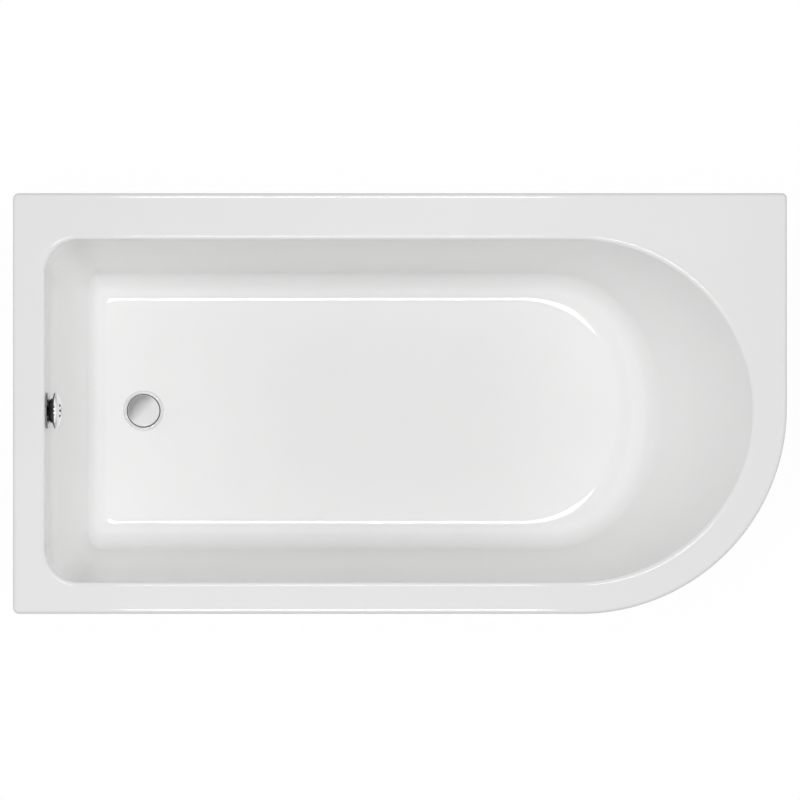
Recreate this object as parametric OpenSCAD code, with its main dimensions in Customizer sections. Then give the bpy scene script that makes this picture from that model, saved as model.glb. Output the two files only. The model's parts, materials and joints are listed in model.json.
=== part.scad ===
// Shower bath with a square waste end and one large round corner, on a steel leg set.
// Origin: the middle of the footprint, on the floor. +X towards the round head end, +Y towards the wall.

/* [Tub] */
// Length of the rim
bath_length = 1500; // [1400:10:1700]
// Width of the rim
bath_width = 815; // [790:5:850]
// Height of the rim above the floor
rim_height = 545; // [530:5:580]
// Depth of the inside at the waste
inner_depth = 390; // [370:5:400]
// Radius of the large front corner of the rim
big_corner = 400; // [300:10:400]
// Wall thickness of the acrylic
acrylic = 5; // [4:0.5:6]
// Thickness of the glass fibre layer
fibre = 4; // [3:0.5:5]
// Depth of the turned down lip
lip_depth = 34; // [28:1:40]

/* [Opening] */
// Rim width at the waste end
rim_left = 56; // [50:1:70]
// Rim width at the round head end
rim_right = 61; // [50:1:80]
// Rim width along the wall side
rim_back = 84; // [70:1:100]
// Rim width along the front side
rim_front = 56; // [50:1:70]
// Corner radius of the opening at the waste end
opening_corner = 65; // [40:1:90]
// Rounding of the opening's edge
roll = 6; // [5:0.5:8]

/* [Waste and overflow] */
// Waste centre from the waste end of the rim
waste_inset = 250; // [230:5:280]
// Overflow centre below the rim
overflow_drop = 42; // [40:1:60]
// Lean of the overflow control, looking up
overflow_lean = 6; // [4:0.5:8]
// Diameter of the plug cap
plug_d = 63; // [60:1:66]
// Diameter of the turning disc
disc_d = 70; // [66:1:72]
// Travel of the plug
plug_lift = 10; // [6:1:10]

/* [Legs] */
// Diameter of a threaded leg
rod_d = 10; // [8:1:12]
// Diameter of a foot
foot_d = 50; // [40:1:60]
// Leg distance from the tub's middle line
leg_reach = 275; // [270:1:285]
// Place of the rail near the waste end
rail_a_x = -365; // [-400:5:-340]
// Place of the rail near the head end
rail_b_x = 235; // [200:5:260]

/* [Hidden] */
left_x = -bath_length / 2;
right_x = bath_length / 2;
front_y = -bath_width / 2;
back_y = bath_width / 2;
small_corner = 12;
back_right_corner = 10;
lip_bottom = rim_height - lip_depth;
edge_round = 7;

// Opening at the rim
open_left = left_x + rim_left;
open_right = right_x - rim_right;
open_front = front_y + rim_front;
open_back = back_y - rim_back;
axis_y = (open_front + open_back) / 2;
open_half = (open_back - open_front) / 2;
head_x = 346;
head_reach = open_right - head_x;

// Floor of the tub, where the walls' fillets end
end_run = 124.7;
side_run = 126;
floor_left = open_left + end_run;
floor_half = open_half - side_run;
floor_corner = 25;
floor_head_x = 236;
floor_head_reach = 192;
floor_low = rim_height - inner_depth;
floor_fall = 6;

// Lean and fillet radius of the walls: side, head end and waste end
side_lean = 10.3;
side_fillet = 61;
head_lean = 26.5;
head_fillet = 100;
end_lean_top = 6;
end_lean_low = 22;
end_fillet = 42;
wall_bend = 82;
floor_ring_share = 0.55;

// Steps of the loft
corner_steps = 6;
side_steps = 8;
end_steps = 4;
arc_steps = 12;
roll_steps = 3;
wall_steps = 5;
fillet_steps = 6;
edge_steps = 3;

waste_x = left_x + waste_inset;
waste_y = axis_y;
board_top = floor_low - acrylic - fibre;
board_thick = 18;
board_bottom = board_top - board_thick;
rail_high = 25;
rail_wide = 32;
rail_wall = 2;
rail_bottom = board_bottom - rail_high;
centre_leg_x = -65;
rod_top = 170;
rail_over = 24;
plate_thick = 3;
plate_long = 110;
plate_wide = 60;
plate_drop = 30;
bridge_half = 28;
screw_r = 2.4;
screw_fit = 0.05;
screw_long = 16;
screw_head = 3;
screw_head_r = 5.5;
bracket_places = [-420, 300];
bracket_wide = 44;
bracket_thick = 3;
bracket_drop = 60;
bracket_hole_d = 6;
bracket_hole_gap = 24;
fine = 64;
round_sides = 32;

overflow_x = open_left + roll + (overflow_drop - roll) * tan(end_lean_top);
overflow_z = rim_height - overflow_drop;

// ---------- outlines: one point for each station round the tub, anticlockwise seen from above ----------

// Share of the way for steps 0 to count - 1
function shares(count) = [for (i = [0:count - 1]) i / count];

// Points on an ellipse quarter, from angle a to angle b, without the last
function arc_points(cx, cy, rx, ry, a, b, count) =
    [for (s = shares(count)) [cx + rx * cos(a + (b - a) * s), cy + ry * sin(a + (b - a) * s)]];

// Points on a straight, without the last
function line_points(p, q, count) = [for (s = shares(count)) p + (q - p) * s];

// Angles of the head end's upper quarter, closer together at the rim's corner
function upper_angles() = concat(
    [for (s = shares(5)) 42 * s],
    [for (s = shares(3)) 42 + 6 * s],
    [for (s = shares(5)) 48 + 42 * s]);

// Outline with a left end, straight sides and an elliptic head end
function tub_outline(x0, half, corner, hx, hr) = concat(
    arc_points(x0 + corner, axis_y + half - corner, corner, corner, 90, 180, corner_steps),
    line_points([x0, axis_y + half - corner], [x0, axis_y - half + corner], end_steps),
    arc_points(x0 + corner, axis_y - half + corner, corner, corner, 180, 270, corner_steps),
    line_points([x0 + corner, axis_y - half], [hx, axis_y - half], side_steps),
    arc_points(hx, axis_y, hr, half, -90, 0, arc_steps),
    [for (a = upper_angles()) [hx + hr * cos(a), axis_y + half * sin(a)]],
    line_points([hx, axis_y + half], [x0 + corner, axis_y + half], side_steps));

// Rim's right back corner: straight up, small corner, straight to the left
function square_corner(angle, inset) =
    let (xr = right_x - inset, yb = back_y - inset, r = back_right_corner - inset)
    let (y0 = front_y + big_corner)
    angle < 42 ? [xr, y0 + (yb - r - y0) * tan(angle) / tan(42)]
    : angle <= 48 ? [xr - r + r * cos((angle - 42) * 15), yb - r + r * sin((angle - 42) * 15)]
    : [right_x - big_corner + (xr - r - right_x + big_corner) * tan(90 - angle) / tan(42), yb];

// Outline of the rim, moved inwards by inset
function rim_outline(inset) =
    let (c = small_corner - inset, b = big_corner - inset)
    let (x0 = left_x + inset, y1 = back_y - inset, y0 = front_y + inset, bx = right_x - big_corner)
    concat(
        arc_points(x0 + c, y1 - c, c, c, 90, 180, corner_steps),
        line_points([x0, y1 - c], [x0, y0 + c], end_steps),
        arc_points(x0 + c, y0 + c, c, c, 180, 270, corner_steps),
        line_points([x0 + c, y0], [bx, y0], side_steps),
        arc_points(bx, front_y + big_corner, b, b, -90, 0, arc_steps),
        [for (a = upper_angles()) square_corner(a, inset)],
        line_points([bx, y1], [x0 + c, y1], side_steps));

// How much of the head end's and the waste end's wall form each station has
function head_weights() = concat(
    [for (i = [1:2 * corner_steps + end_steps + side_steps]) 0],
    [for (s = shares(arc_steps)) pow(sin(90 * s), 2)],
    [for (a = upper_angles()) pow(cos(a), 2)],
    [for (i = [1:side_steps]) 0]);
function end_weights() = concat(
    [for (s = shares(corner_steps)) pow(sin(90 * s), 2)],
    [for (i = [1:end_steps]) 1],
    [for (s = shares(corner_steps)) pow(cos(90 * s), 2)],
    [for (i = [1:2 * side_steps + arc_steps + len(upper_angles())]) 0]);

// ---------- wall profile: [share of the inset, share of the depth] for each ring ----------

// Edge roll, wall that leans from top_lean to low_lean past the bend, then the fillet
function wall_profile(top_lean, low_lean, bend, fillet) =
    let (d1 = roll * (1 - sin(top_lean)), d2 = inner_depth - fillet * (1 - sin(low_lean)))
    let (curve = (tan(low_lean) - tan(top_lean)) / (2 * (d2 - bend)), h1 = roll * cos(top_lean))
    let (h2 = h1 + (d2 - d1) * tan(top_lean) + curve * pow(d2 - bend, 2))
    let (total = h2 + fillet * cos(low_lean))
    concat(
        [for (i = [1:roll_steps]) let (a = (90 - top_lean) * i / roll_steps)
            [roll * sin(a) / total, roll * (1 - cos(a)) / inner_depth]],
        [for (i = [1:wall_steps]) let (d = d1 + (d2 - d1) * i / wall_steps)
            [(h1 + (d - d1) * tan(top_lean) + curve * pow(max(0, d - bend), 2)) / total, d / inner_depth]],
        [for (i = [1:fillet_steps]) let (a = low_lean + (90 - low_lean) * i / fillet_steps)
            [(h2 + fillet * (cos(low_lean) - cos(a))) / total,
             (inner_depth - fillet * (1 - sin(a))) / inner_depth]]);

// Height of the floor, which falls towards the waste
function floor_z(p) = floor_low + floor_fall * max(0, p[0] - waste_x) / (floor_head_x - waste_x);

stations = len(rim_outline(0));
opening = tub_outline(open_left, open_half, opening_corner, head_x, head_reach);
floor_line = tub_outline(floor_left, floor_half, floor_corner, floor_head_x, floor_head_reach);
side_profile = wall_profile(side_lean, side_lean, wall_bend, side_fillet);
head_profile = wall_profile(head_lean, head_lean, wall_bend, head_fillet);
end_profile = wall_profile(end_lean_top, end_lean_low, wall_bend, end_fillet);
head_share = head_weights();
end_share = end_weights();
rings_in_wall = len(side_profile);

// One point of the wall: ring k, station i
function wall_point(k, i) =
    let (side_share = 1 - head_share[i] - end_share[i])
    let (s = side_profile[k] * side_share + head_profile[k] * head_share[i] + end_profile[k] * end_share[i])
    let (p = opening[i] + (floor_line[i] - opening[i]) * s[0])
    [p[0], p[1], rim_height - s[1] * (rim_height - floor_z(floor_line[i]))];

// A ring of the rim at an inset and a height
function rim_ring(inset, z) = [for (p = rim_outline(inset)) [p[0], p[1], z]];

// Rings of the tub's upper face, from the lip's lower edge to the floor
face_rings = concat(
    [rim_ring(0, lip_bottom)],
    [for (i = [0:edge_steps]) let (a = 90 * i / edge_steps)
        rim_ring(edge_round * (1 - cos(a)), rim_height - edge_round * (1 - sin(a)))],
    [[for (p = opening) [p[0], p[1], rim_height]]],
    [for (k = [0:rings_in_wall - 1]) [for (i = [0:stations - 1]) wall_point(k, i)]],
    [[for (p = floor_line) let (q = [waste_x, waste_y] + (p - [waste_x, waste_y]) * floor_ring_share)
        [q[0], q[1], floor_z(q)]]]);
ring_count = len(face_rings);
first_backing_ring = edge_steps + 3 + roll_steps;

// Unit normal of the face at ring j, station i, pointing out of the wet side
function face_normal(j, i) =
    let (a = (i + stations - 1) % stations, b = (i + 1) % stations)
    let (j0 = max(0, j - 1), j1 = min(ring_count - 1, j + 1))
    let (n = cross(face_rings[j][b] - face_rings[j][a], face_rings[j1][i] - face_rings[j0][i]))
    n / norm(n);

// Ring j moved into the wall by thick
function deep_ring(j, thick) =
    [for (i = [0:stations - 1]) face_rings[j][i] - face_normal(j, i) * thick];

// Closed skin between two stacks of rings that share their first edge line, each with a middle point
module skin(upper, lower, upper_mid, lower_mid) {
    n = len(upper[0]);
    rows = len(upper);
    all = concat([for (r = upper) each r], [for (r = lower) each r], [upper_mid, lower_mid]);
    function at(s, j, i) = (s * rows + j) * n + i % n;
    mid_a = 2 * rows * n;
    faces = concat(
        [for (j = [0:rows - 2]) for (i = [0:n - 1])
            each [[at(0, j, i), at(0, j + 1, i), at(0, j, i + 1)],
                  [at(0, j, i + 1), at(0, j + 1, i), at(0, j + 1, i + 1)]]],
        [for (j = [0:rows - 2]) for (i = [0:n - 1])
            each [[at(1, j, i), at(1, j, i + 1), at(1, j + 1, i)],
                  [at(1, j, i + 1), at(1, j + 1, i + 1), at(1, j + 1, i)]]],
        [for (i = [0:n - 1]) each [[at(0, 0, i), at(0, 0, i + 1), at(1, 0, i)],
                                   [at(0, 0, i + 1), at(1, 0, i + 1), at(1, 0, i)]]],
        [for (i = [0:n - 1]) [at(0, rows - 1, i), mid_a, at(0, rows - 1, i + 1)]],
        [for (i = [0:n - 1]) [at(1, rows - 1, i), at(1, rows - 1, i + 1), mid_a + 1]]);
    polyhedron(all, faces, convexity = 10);
}

// Local frames of the waste and of the overflow; there z runs up, or out of the wall
module at_waste() { translate([waste_x, waste_y, 0]) children(); }
module at_overflow() {
    translate([overflow_x, axis_y, overflow_z]) rotate([0, 90 - overflow_lean, 0]) children();
}

// Ring made by turning a rectangle
module ring(inner_r, outer_r, z0, z1) {
    rotate_extrude($fn = fine) translate([inner_r, z0]) square([outer_r - inner_r, z1 - z0]);
}

// ---------- tub ----------

recess_r = 38.5;
recess_deep = 3.5;
recess_bottom = floor_low - recess_deep;
pad_r = 46;
pad_thick = 4.5;
pad_bottom = recess_bottom - pad_thick;
pad_gap = 0.3;
waste_hole_r = 26;
overflow_hole_r = 27;
fibre_gap_r = 42;

module acrylic_shell() color("white") {
    deep_floor = floor_low - acrylic;
    difference() {
        union() {
            skin(face_rings, [for (j = [0:ring_count - 1]) deep_ring(j, acrylic)],
                [waste_x, waste_y, floor_low], [waste_x, waste_y, deep_floor]);
            at_waste() translate([0, 0, pad_bottom])
                cylinder(h = floor_low - 1 - pad_bottom, r = pad_r, $fn = fine);
        }
        at_waste() translate([0, 0, recess_bottom]) cylinder(h = 20, r = recess_r, $fn = fine);
        at_waste() cylinder(h = rim_height, r = waste_hole_r, $fn = fine);
        at_overflow() translate([0, 0, -12]) cylinder(h = 24, r = overflow_hole_r, $fn = fine);
    }
}

module fibreglass_backing() color("wheat") {
    rows = [for (j = [first_backing_ring:ring_count - 1]) j];
    last = len(rows) - 1;
    inner = [for (j = rows) deep_ring(j, acrylic)];
    outer = [for (k = [0:last]) let (ring = deep_ring(rows[k], acrylic + fibre))
        [for (p = ring) k >= last - 1 ? [p[0], p[1], board_top] : [p[0], p[1], max(p[2], board_top)]]];
    difference() {
        skin(inner, outer, [waste_x, waste_y, floor_low - acrylic], [waste_x, waste_y, board_top]);
        at_waste() cylinder(h = rim_height, r = pad_r + pad_gap, $fn = fine);
        at_overflow() translate([0, 0, -30]) cylinder(h = 60, r = fibre_gap_r, $fn = fine);
    }
}

board_from_pad = 34;
board_left = waste_x + pad_r + board_from_pad;
board_right = 290;
board_half = 165;
board_corner = 60;

// Holes for screws driven up into wood, from the height z
module pilot_holes(places, z) {
    for (p = places) translate([p[0], p[1], z - 1])
        cylinder(h = screw_long + 2, r = screw_r + screw_fit, $fn = round_sides);
}

rail_screw_places = [for (x = [rail_a_x, rail_b_x], y = [-120, -40, 40, 120]) [x, axis_y + y]];
plate_screw_places = [for (s = [-1, 1], t = [-1, 1]) [centre_leg_x + s * 40, axis_y + t * 20]];
bracket_screw_places = [for (x = bracket_places, s = [-1, 1]) [x + s * 12, back_y - 32]];

module baseboard() color("burlywood") difference() {
    translate([0, 0, board_bottom]) linear_extrude(board_thick) union() {
        translate([board_left, axis_y - board_half])
            square([board_right - board_corner - board_left, 2 * board_half]);
        translate([board_left, axis_y - board_half + board_corner])
            square([board_right - board_left, 2 * (board_half - board_corner)]);
        for (s = [-1, 1]) translate([board_right - board_corner, axis_y + s * (board_half - board_corner)])
            circle(r = board_corner, $fn = fine);
    }
    pilot_holes(concat(rail_screw_places, plate_screw_places), board_bottom);
}

batten_top = rim_height - acrylic - 0.2;
batten_high = 25;
batten_low = batten_top - batten_high;

// Timber bar under the rim
module batten(x0, x1, y0, y1) {
    translate([x0, y0, batten_low]) cube([x1 - x0, y1 - y0, batten_high]);
}

module batten_back() color("tan") difference() {
    batten(left_x + 80, right_x - 110, back_y - 58, back_y - 14);
    pilot_holes(bracket_screw_places, batten_low);
}
module batten_front() color("tan") batten(left_x + 80, head_x + 60, front_y + 10, front_y + 38);
module batten_left() color("tan") batten(left_x + 12, left_x + 40, axis_y + 50, back_y - 70);
module batten_right() color("tan") batten(right_x - 44, right_x - 14, 40, back_y - 70);

// ---------- leg set ----------

centre_web = board_bottom - plate_drop;
legs = [
    [rail_a_x, axis_y - leg_reach, board_bottom],
    [rail_a_x, axis_y + leg_reach, board_bottom],
    [rail_b_x, axis_y - leg_reach, board_bottom],
    [rail_b_x, axis_y + leg_reach, board_bottom],
    [centre_leg_x, axis_y, centre_web + plate_thick]];
rod_r = rod_d / 2;
rod_fit = 0.05;
rod_low = 6;
nut_high = 8;
nut_r = 0.98 * rod_d;
web = [rail_wall, rail_wall, rail_wall, rail_wall, plate_thick];

// Folded steel channel, open below, with a hole for each leg
module leg_rail(x) color("silver") {
    half = leg_reach + rail_over;
    difference() {
        translate([x - rail_wide / 2, axis_y - half, rail_bottom]) cube([rail_wide, 2 * half, rail_high]);
        translate([x - rail_wide / 2 + rail_wall, axis_y - half - 1, rail_bottom - 1])
            cube([rail_wide - 2 * rail_wall, 2 * half + 2, rail_high + 1 - rail_wall]);
        for (s = [-1, 1]) translate([x, axis_y + s * leg_reach, rail_bottom])
            cylinder(h = rail_high + 1, r = rod_r + rod_fit, $fn = fine);
        for (p = rail_screw_places) translate([p[0], p[1], rail_bottom])
            cylinder(h = rail_high + 1, r = screw_r + screw_fit, $fn = round_sides);
    }
}
module leg_rail_waste_end() leg_rail(rail_a_x);
module leg_rail_head_end() leg_rail(rail_b_x);

// Pressed plate under the middle of the baseboard: a bridge for the leg between two flanges
module centre_leg_plate() color("silver") {
    difference() {
        translate([centre_leg_x - plate_long / 2, axis_y - plate_wide / 2, centre_web])
            cube([plate_long, plate_wide, plate_drop]);
        translate([centre_leg_x - bridge_half + plate_thick, axis_y - plate_wide, centre_web + plate_thick])
            cube([2 * (bridge_half - plate_thick), 2 * plate_wide, plate_drop]);
        for (s = [-1, 1])
            translate([centre_leg_x + s * (bridge_half + 50), axis_y, board_bottom - plate_thick - 50])
                cube([100, 2 * plate_wide, 100], center = true);
        translate([centre_leg_x, axis_y, centre_web - 1])
            cylinder(h = plate_drop, r = rod_r + rod_fit, $fn = fine);
        for (p = plate_screw_places) translate([p[0], p[1], centre_web - 1])
            cylinder(h = plate_drop + 2, r = screw_r + screw_fit, $fn = round_sides);
    }
}

// Pan head screw with a cross, driven upwards; z = 0 is under its head
module pan_screw() {
    translate([0, 0, -0.5]) cylinder(h = screw_long + 0.5, r = screw_r, $fn = round_sides);
    difference() {
        translate([0, 0, -screw_head])
            cylinder(h = screw_head, r1 = screw_head_r - 1.2, r2 = screw_head_r, $fn = round_sides);
        for (a = [0, 90]) rotate(a) translate([0, 0, -screw_head]) cube([5, 1, 2.4], center = true);
    }
}
module screws_up(places, z) {
    for (p = places) translate([p[0], p[1], z]) pan_screw();
}
module rail_screws() color("gray") screws_up(rail_screw_places, board_bottom - rail_wall);
module centre_plate_screws() color("gray") screws_up(plate_screw_places, board_bottom - plate_thick);

// Hexagon nut on a leg, from height z
module leg_nut(leg, z) {
    translate([leg[0], leg[1], z]) difference() {
        cylinder(h = nut_high, r = nut_r, $fn = 6);
        translate([0, 0, -1]) cylinder(h = nut_high + 2, r = rod_r + rod_fit, $fn = fine);
    }
}
module leg_nuts_upper() color("silver") for (l = legs) leg_nut(l, l[2]);
module leg_nuts_lower() color("silver") for (i = [0:4]) leg_nut(legs[i], legs[i][2] - web[i] - nut_high);

// Threaded leg, and its plastic foot
module leg_rod(i) color("silver") {
    top = i < 4 ? rod_top : board_bottom - 1.5;
    translate([legs[i][0], legs[i][1], rod_low]) {
        cylinder(h = top - rod_low - 1, r = rod_r, $fn = fine);
        translate([0, 0, top - rod_low - 1]) cylinder(h = 1, r1 = rod_r, r2 = rod_r - 1, $fn = fine);
    }
}
module foot_pad(i) color("dimgray") translate([legs[i][0], legs[i][1], 0]) rotate_extrude($fn = fine)
    polygon([[0, 0], [foot_d / 2 - 1, 0], [foot_d / 2, 1], [foot_d / 2, 4], [foot_d / 2 - 2, 6],
        [rod_r + 6, 8], [rod_r + 4, 22], [rod_r, 22], [rod_r, rod_low], [0, rod_low]]);

module leg_rod_1() leg_rod(0);
module leg_rod_2() leg_rod(1);
module leg_rod_3() leg_rod(2);
module leg_rod_4() leg_rod(3);
module leg_rod_5() leg_rod(4);
module foot_pad_1() foot_pad(0);
module foot_pad_2() foot_pad(1);
module foot_pad_3() foot_pad(2);
module foot_pad_4() foot_pad(3);
module foot_pad_5() foot_pad(4);

// Steel angle under the wall side's batten, with two holes for the wall's screws
module wall_bracket(x) color("silver") {
    y1 = back_y - acrylic - 1;
    y0 = back_y - 56;
    difference() {
        union() {
            translate([x - bracket_wide / 2, y0, batten_low - bracket_thick])
                cube([bracket_wide, y1 - y0, bracket_thick]);
            translate([x - bracket_wide / 2, y1 - bracket_thick, batten_low - bracket_drop])
                cube([bracket_wide, bracket_thick, bracket_drop]);
        }
        for (s = [-1, 1]) translate([x + s * bracket_hole_gap / 2, y1 - 20, batten_low - bracket_drop + 14])
            rotate([-90, 0, 0]) cylinder(h = 40, r = bracket_hole_d / 2, $fn = round_sides);
        for (p = bracket_screw_places) translate([p[0], p[1], batten_low - 10])
            cylinder(h = 20, r = screw_r + screw_fit, $fn = round_sides);
    }
}
module wall_bracket_1() wall_bracket(bracket_places[0]);
module wall_bracket_2() wall_bracket(bracket_places[1]);
module bracket_screws() color("gray") screws_up(bracket_screw_places, batten_low - bracket_thick);

// ---------- waste ----------

seal_low = pad_bottom - 3;
seal_r = 38;
tube_r = 25;
flange_r = 35;
flange_under = recess_bottom + 1;
flange_top = floor_low;
stem_r = 4;
stem_fit = 0.05;
stem_low = 118;
cap_low = flange_top + 0.3;
port_z = 112;
port_r = 15;
port_bore = 12;
cup_r = 32;
cup_bore = 28;
cup_low = 92;
outlet_r = 23.9;
outlet_low = 66;
outlet_bore = 19.5;
lever_arm = 18;
lever_tip_r = 3;
lever_half = asin(plug_lift / 2 / lever_arm);
lever_gap = 0.4;
pivot_z = stem_low - lever_gap - lever_tip_r + plug_lift / 2;
pin_r = 2;
pin_fit = 0.05;
cable_offset = 24.5;
cable_r = 2.5;
gland_r = 5;
wire_r = 1.5;

module waste_upper_seal() color("darkslategray") at_waste()
    ring(waste_hole_r, flange_r - 1, recess_bottom, flange_under);
module waste_lower_seal() color("darkslategray") at_waste()
    ring(waste_hole_r, seal_r, seal_low, pad_bottom);

// Chrome flange with its threaded tube and a spider that guides the plug's stem
module waste_flange() color("gainsboro") at_waste() {
    rotate_extrude($fn = fine) polygon([[tube_r - 2, 134], [tube_r, 134], [tube_r, flange_under],
        [flange_r, flange_under], [flange_r, flange_top - 1], [flange_r - 1, flange_top], [30.4, flange_top],
        [30, flange_top - 1.8], [tube_r - 1, flange_top - 1.8], [tube_r - 2, flange_top - 4]]);
    difference() {
        union() {
            translate([0, 0, 141]) cylinder(h = 6, r = 7, $fn = fine);
            for (a = [0, 120, 240]) rotate(a) translate([5, -1.5, 141]) cube([tube_r - 6.5, 3, 4]);
        }
        translate([0, 0, 130]) cylinder(h = 30, r = stem_r + stem_fit, $fn = fine);
    }
}

// Waste body: rim under the tub, cup, side port for the overflow hose, threaded outlet below
module waste_body() color("whitesmoke") at_waste() {
    difference() {
        union() {
            translate([0, 0, seal_low - 4]) cylinder(h = 4, r = 39, $fn = fine);
            translate([0, 0, cup_low]) cylinder(h = seal_low - cup_low, r = cup_r, $fn = fine);
            translate([0, 0, outlet_low]) cylinder(h = 30, r = outlet_r, $fn = fine);
            translate([-58, 0, port_z]) rotate([0, 90, 0]) cylinder(h = 40, r = port_r, $fn = fine);
            translate([-38, cable_offset, port_z]) rotate([0, 90, 0])
                cylinder(h = 22, r = gland_r, $fn = round_sides);
        }
        translate([0, 0, seal_low - 12]) cylinder(h = 20, r = tube_r + 0.02, $fn = fine);
        translate([0, 0, cup_low + 4])
            cylinder(h = seal_low - 12 - cup_low - 4, r = cup_bore, $fn = fine);
        translate([0, 0, outlet_low - 1]) cylinder(h = 40, r = outlet_bore, $fn = fine);
        translate([-59, 0, port_z]) rotate([0, 90, 0]) cylinder(h = 40, r = port_bore, $fn = fine);
        translate([-39, cable_offset, port_z]) rotate([0, 90, 0])
            cylinder(h = 26, r = wire_r, $fn = round_sides);
    }
    // lugs for the lever's pin
    difference() {
        for (s = [-1, 1]) translate([-lever_arm - 10.5, s * 7 - 2, pivot_z - 6]) cube([16, 4, 12]);
        translate([-lever_arm, 20, pivot_z]) rotate([90, 0, 0])
            cylinder(h = 40, r = pin_r + 0.02, $fn = round_sides);
    }
}

module plug_cap() color("gainsboro") at_waste() rotate_extrude($fn = fine)
    polygon([[0, cap_low], [plug_d / 2 - 0.8, cap_low], [plug_d / 2, cap_low + 0.8],
        [plug_d / 2, cap_low + 2.2], [plug_d / 2 - 1.2, cap_low + 3.1], [plug_d / 2 - 5, cap_low + 3.4],
        [0, cap_low + 3.8]]);
module plug_seal() color("black") at_waste() ring(24.8, 29.2, flange_top - 1.4, cap_low);
module plug_stem() color("silver") at_waste() translate([0, 0, stem_low])
    cylinder(h = cap_low - stem_low, r = stem_r, $fn = fine);

// Lever that lifts the stem, at the height of a closed plug
module lift_lever() color("silver") at_waste()
    translate([-lever_arm, 0, pivot_z]) rotate([0, lever_half, 0]) difference() {
        union() {
            rotate([90, 0, 0]) cylinder(h = 8, r = 5, center = true, $fn = fine);
            translate([0, -3, -2]) cube([lever_arm, 6, 4]);
            translate([lever_arm, 0, 0]) rotate([90, 0, 0])
                cylinder(h = 6, r = lever_tip_r, center = true, $fn = fine);
            translate([-2, -3, -14]) cube([4, 6, 14]);
        }
        rotate([90, 0, 0]) cylinder(h = 20, r = pin_r + pin_fit, center = true, $fn = fine);
    }
module lever_pin() color("dimgray") at_waste() translate([-lever_arm, 9, pivot_z]) rotate([90, 0, 0])
    cylinder(h = 18, r = pin_r, $fn = fine);

// ---------- overflow ----------

elbow_depth = 25;
hose_x = overflow_x - elbow_depth * cos(overflow_lean);
outlet_top = 441;
spindle_r = 4;
spindle_fit = 0.05;
spindle_top = 20;
hub_low = 9;
hub_r = 9;
back_r = 33;
back_slope = 0.25;
collar_r = 24.5;
collar_bore = 14;
collar_low = 4.4;
slot_up = 15;
slot_gap = 10;
gland_z = 468;
hose_bend = 110;
hose_end_x = waste_x - 58;

module overflow_seal() color("darkslategray") at_overflow()
    ring(overflow_hole_r, 37, -acrylic - 2, -acrylic - 0.1);

// Chrome wall flange with its threaded tube, and a spider for the spindle
module overflow_flange() color("gainsboro") at_overflow() {
    rotate_extrude($fn = fine) polygon([[24, -14], [26, -14], [26, 0.3], [35, 0.3], [35, 1.4], [34, 2.8],
        [31, 3.4], [27, 3.4], [25, 2.4], [24, 0.4]]);
    difference() {
        union() {
            translate([0, 0, -5]) cylinder(h = 12, r = 6, $fn = fine);
            for (a = [45:90:315]) rotate(a) translate([4.5, -1.5, -4]) cube([20, 3, 4]);
        }
        translate([0, 0, -20]) cylinder(h = 40, r = spindle_r + spindle_fit, $fn = fine);
    }
}

// Plastic elbow behind the wall: round chamber, outlet straight down, gland for the cable
module overflow_elbow() color("whitesmoke") {
    difference() {
        union() {
            at_overflow() {
                translate([0, 0, -acrylic - 6]) cylinder(h = 4, r = 38, $fn = fine);
                translate([0, 0, -40]) cylinder(h = 32, r = 30, $fn = fine);
            }
            translate([hose_x, axis_y, outlet_top]) cylinder(h = 45, r = port_r, $fn = fine);
            translate([hose_x, axis_y + cable_offset, gland_z])
                cylinder(h = 22, r = gland_r, $fn = round_sides);
        }
        at_overflow() translate([0, 0, -36]) cylinder(h = 50, r = 26.02, $fn = fine);
        translate([hose_x, axis_y, outlet_top - 1]) cylinder(h = 50, r = port_bore, $fn = fine);
        translate([hose_x, axis_y + cable_offset, gland_z - 8])
            cylinder(h = 30, r = wire_r, $fn = round_sides);
    }
}

// Height of the turning disc's conical back at a radius
function back_z(r) = hub_low + (r - hub_r) * back_slope;

// Turning disc on a flared hub, with three short slots above the middle of its face
module overflow_knob() color("gainsboro") at_overflow() difference() {
    rotate_extrude($fn = fine) polygon([[spindle_r, hub_low], [hub_r, hub_low], [back_r, back_z(back_r)],
        [disc_d / 2 - 0.5, back_z(back_r) + 0.4], [disc_d / 2, 15.8], [disc_d / 2, 18.3],
        [disc_d / 2 - 1, 19.6], [30, 22], [24, 24.2], [16, 26.2], [8, 27.4], [0, 27.8], [0, spindle_top],
        [spindle_r, spindle_top]]);
    for (s = [-1, 0, 1]) translate([-slot_up, s * slot_gap, 27]) cube([5, 4.4, 8], center = true);
}

// Dark plastic collar pressed to the disc's back, round and tapered towards the wall
module knob_collar() color("black") at_overflow() rotate_extrude($fn = fine)
    polygon([[collar_bore, collar_low], [collar_bore + 2, collar_low], [collar_r - 4, collar_low + 1.2],
        [collar_r - 1, collar_low + 3.4], [collar_r, collar_low + 6], [collar_r, back_z(collar_r)],
        [collar_bore, back_z(collar_bore)]]);
module knob_spindle() color("silver") at_overflow() {
    translate([0, 0, -28]) cylinder(h = 28 + spindle_top, r = spindle_r, $fn = fine);
    translate([0, 0, -31]) cylinder(h = 3, r = 5, $fn = fine);
    translate([0, -4, -31]) cube([16, 8, 3]);
}

// Route of a pipe or cable: down, round a quarter bend, then level to the waste; distance s along it
function route_length(top, end_x) = (top - port_z - hose_bend) + PI / 2 * hose_bend
    + (end_x - hose_x - hose_bend);
function route_angle(top, s) =
    let (down = top - port_z - hose_bend)
    s < down ? 0 : min(90, (s - down) / hose_bend * 180 / PI);
function route_point(top, s) =
    let (down = top - port_z - hose_bend, quarter = PI / 2 * hose_bend, a = route_angle(top, s))
    s < down ? [hose_x, top - s]
    : [hose_x + hose_bend * (1 - cos(a)) + max(0, s - down - quarter), port_z + hose_bend * (1 - sin(a))];

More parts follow.
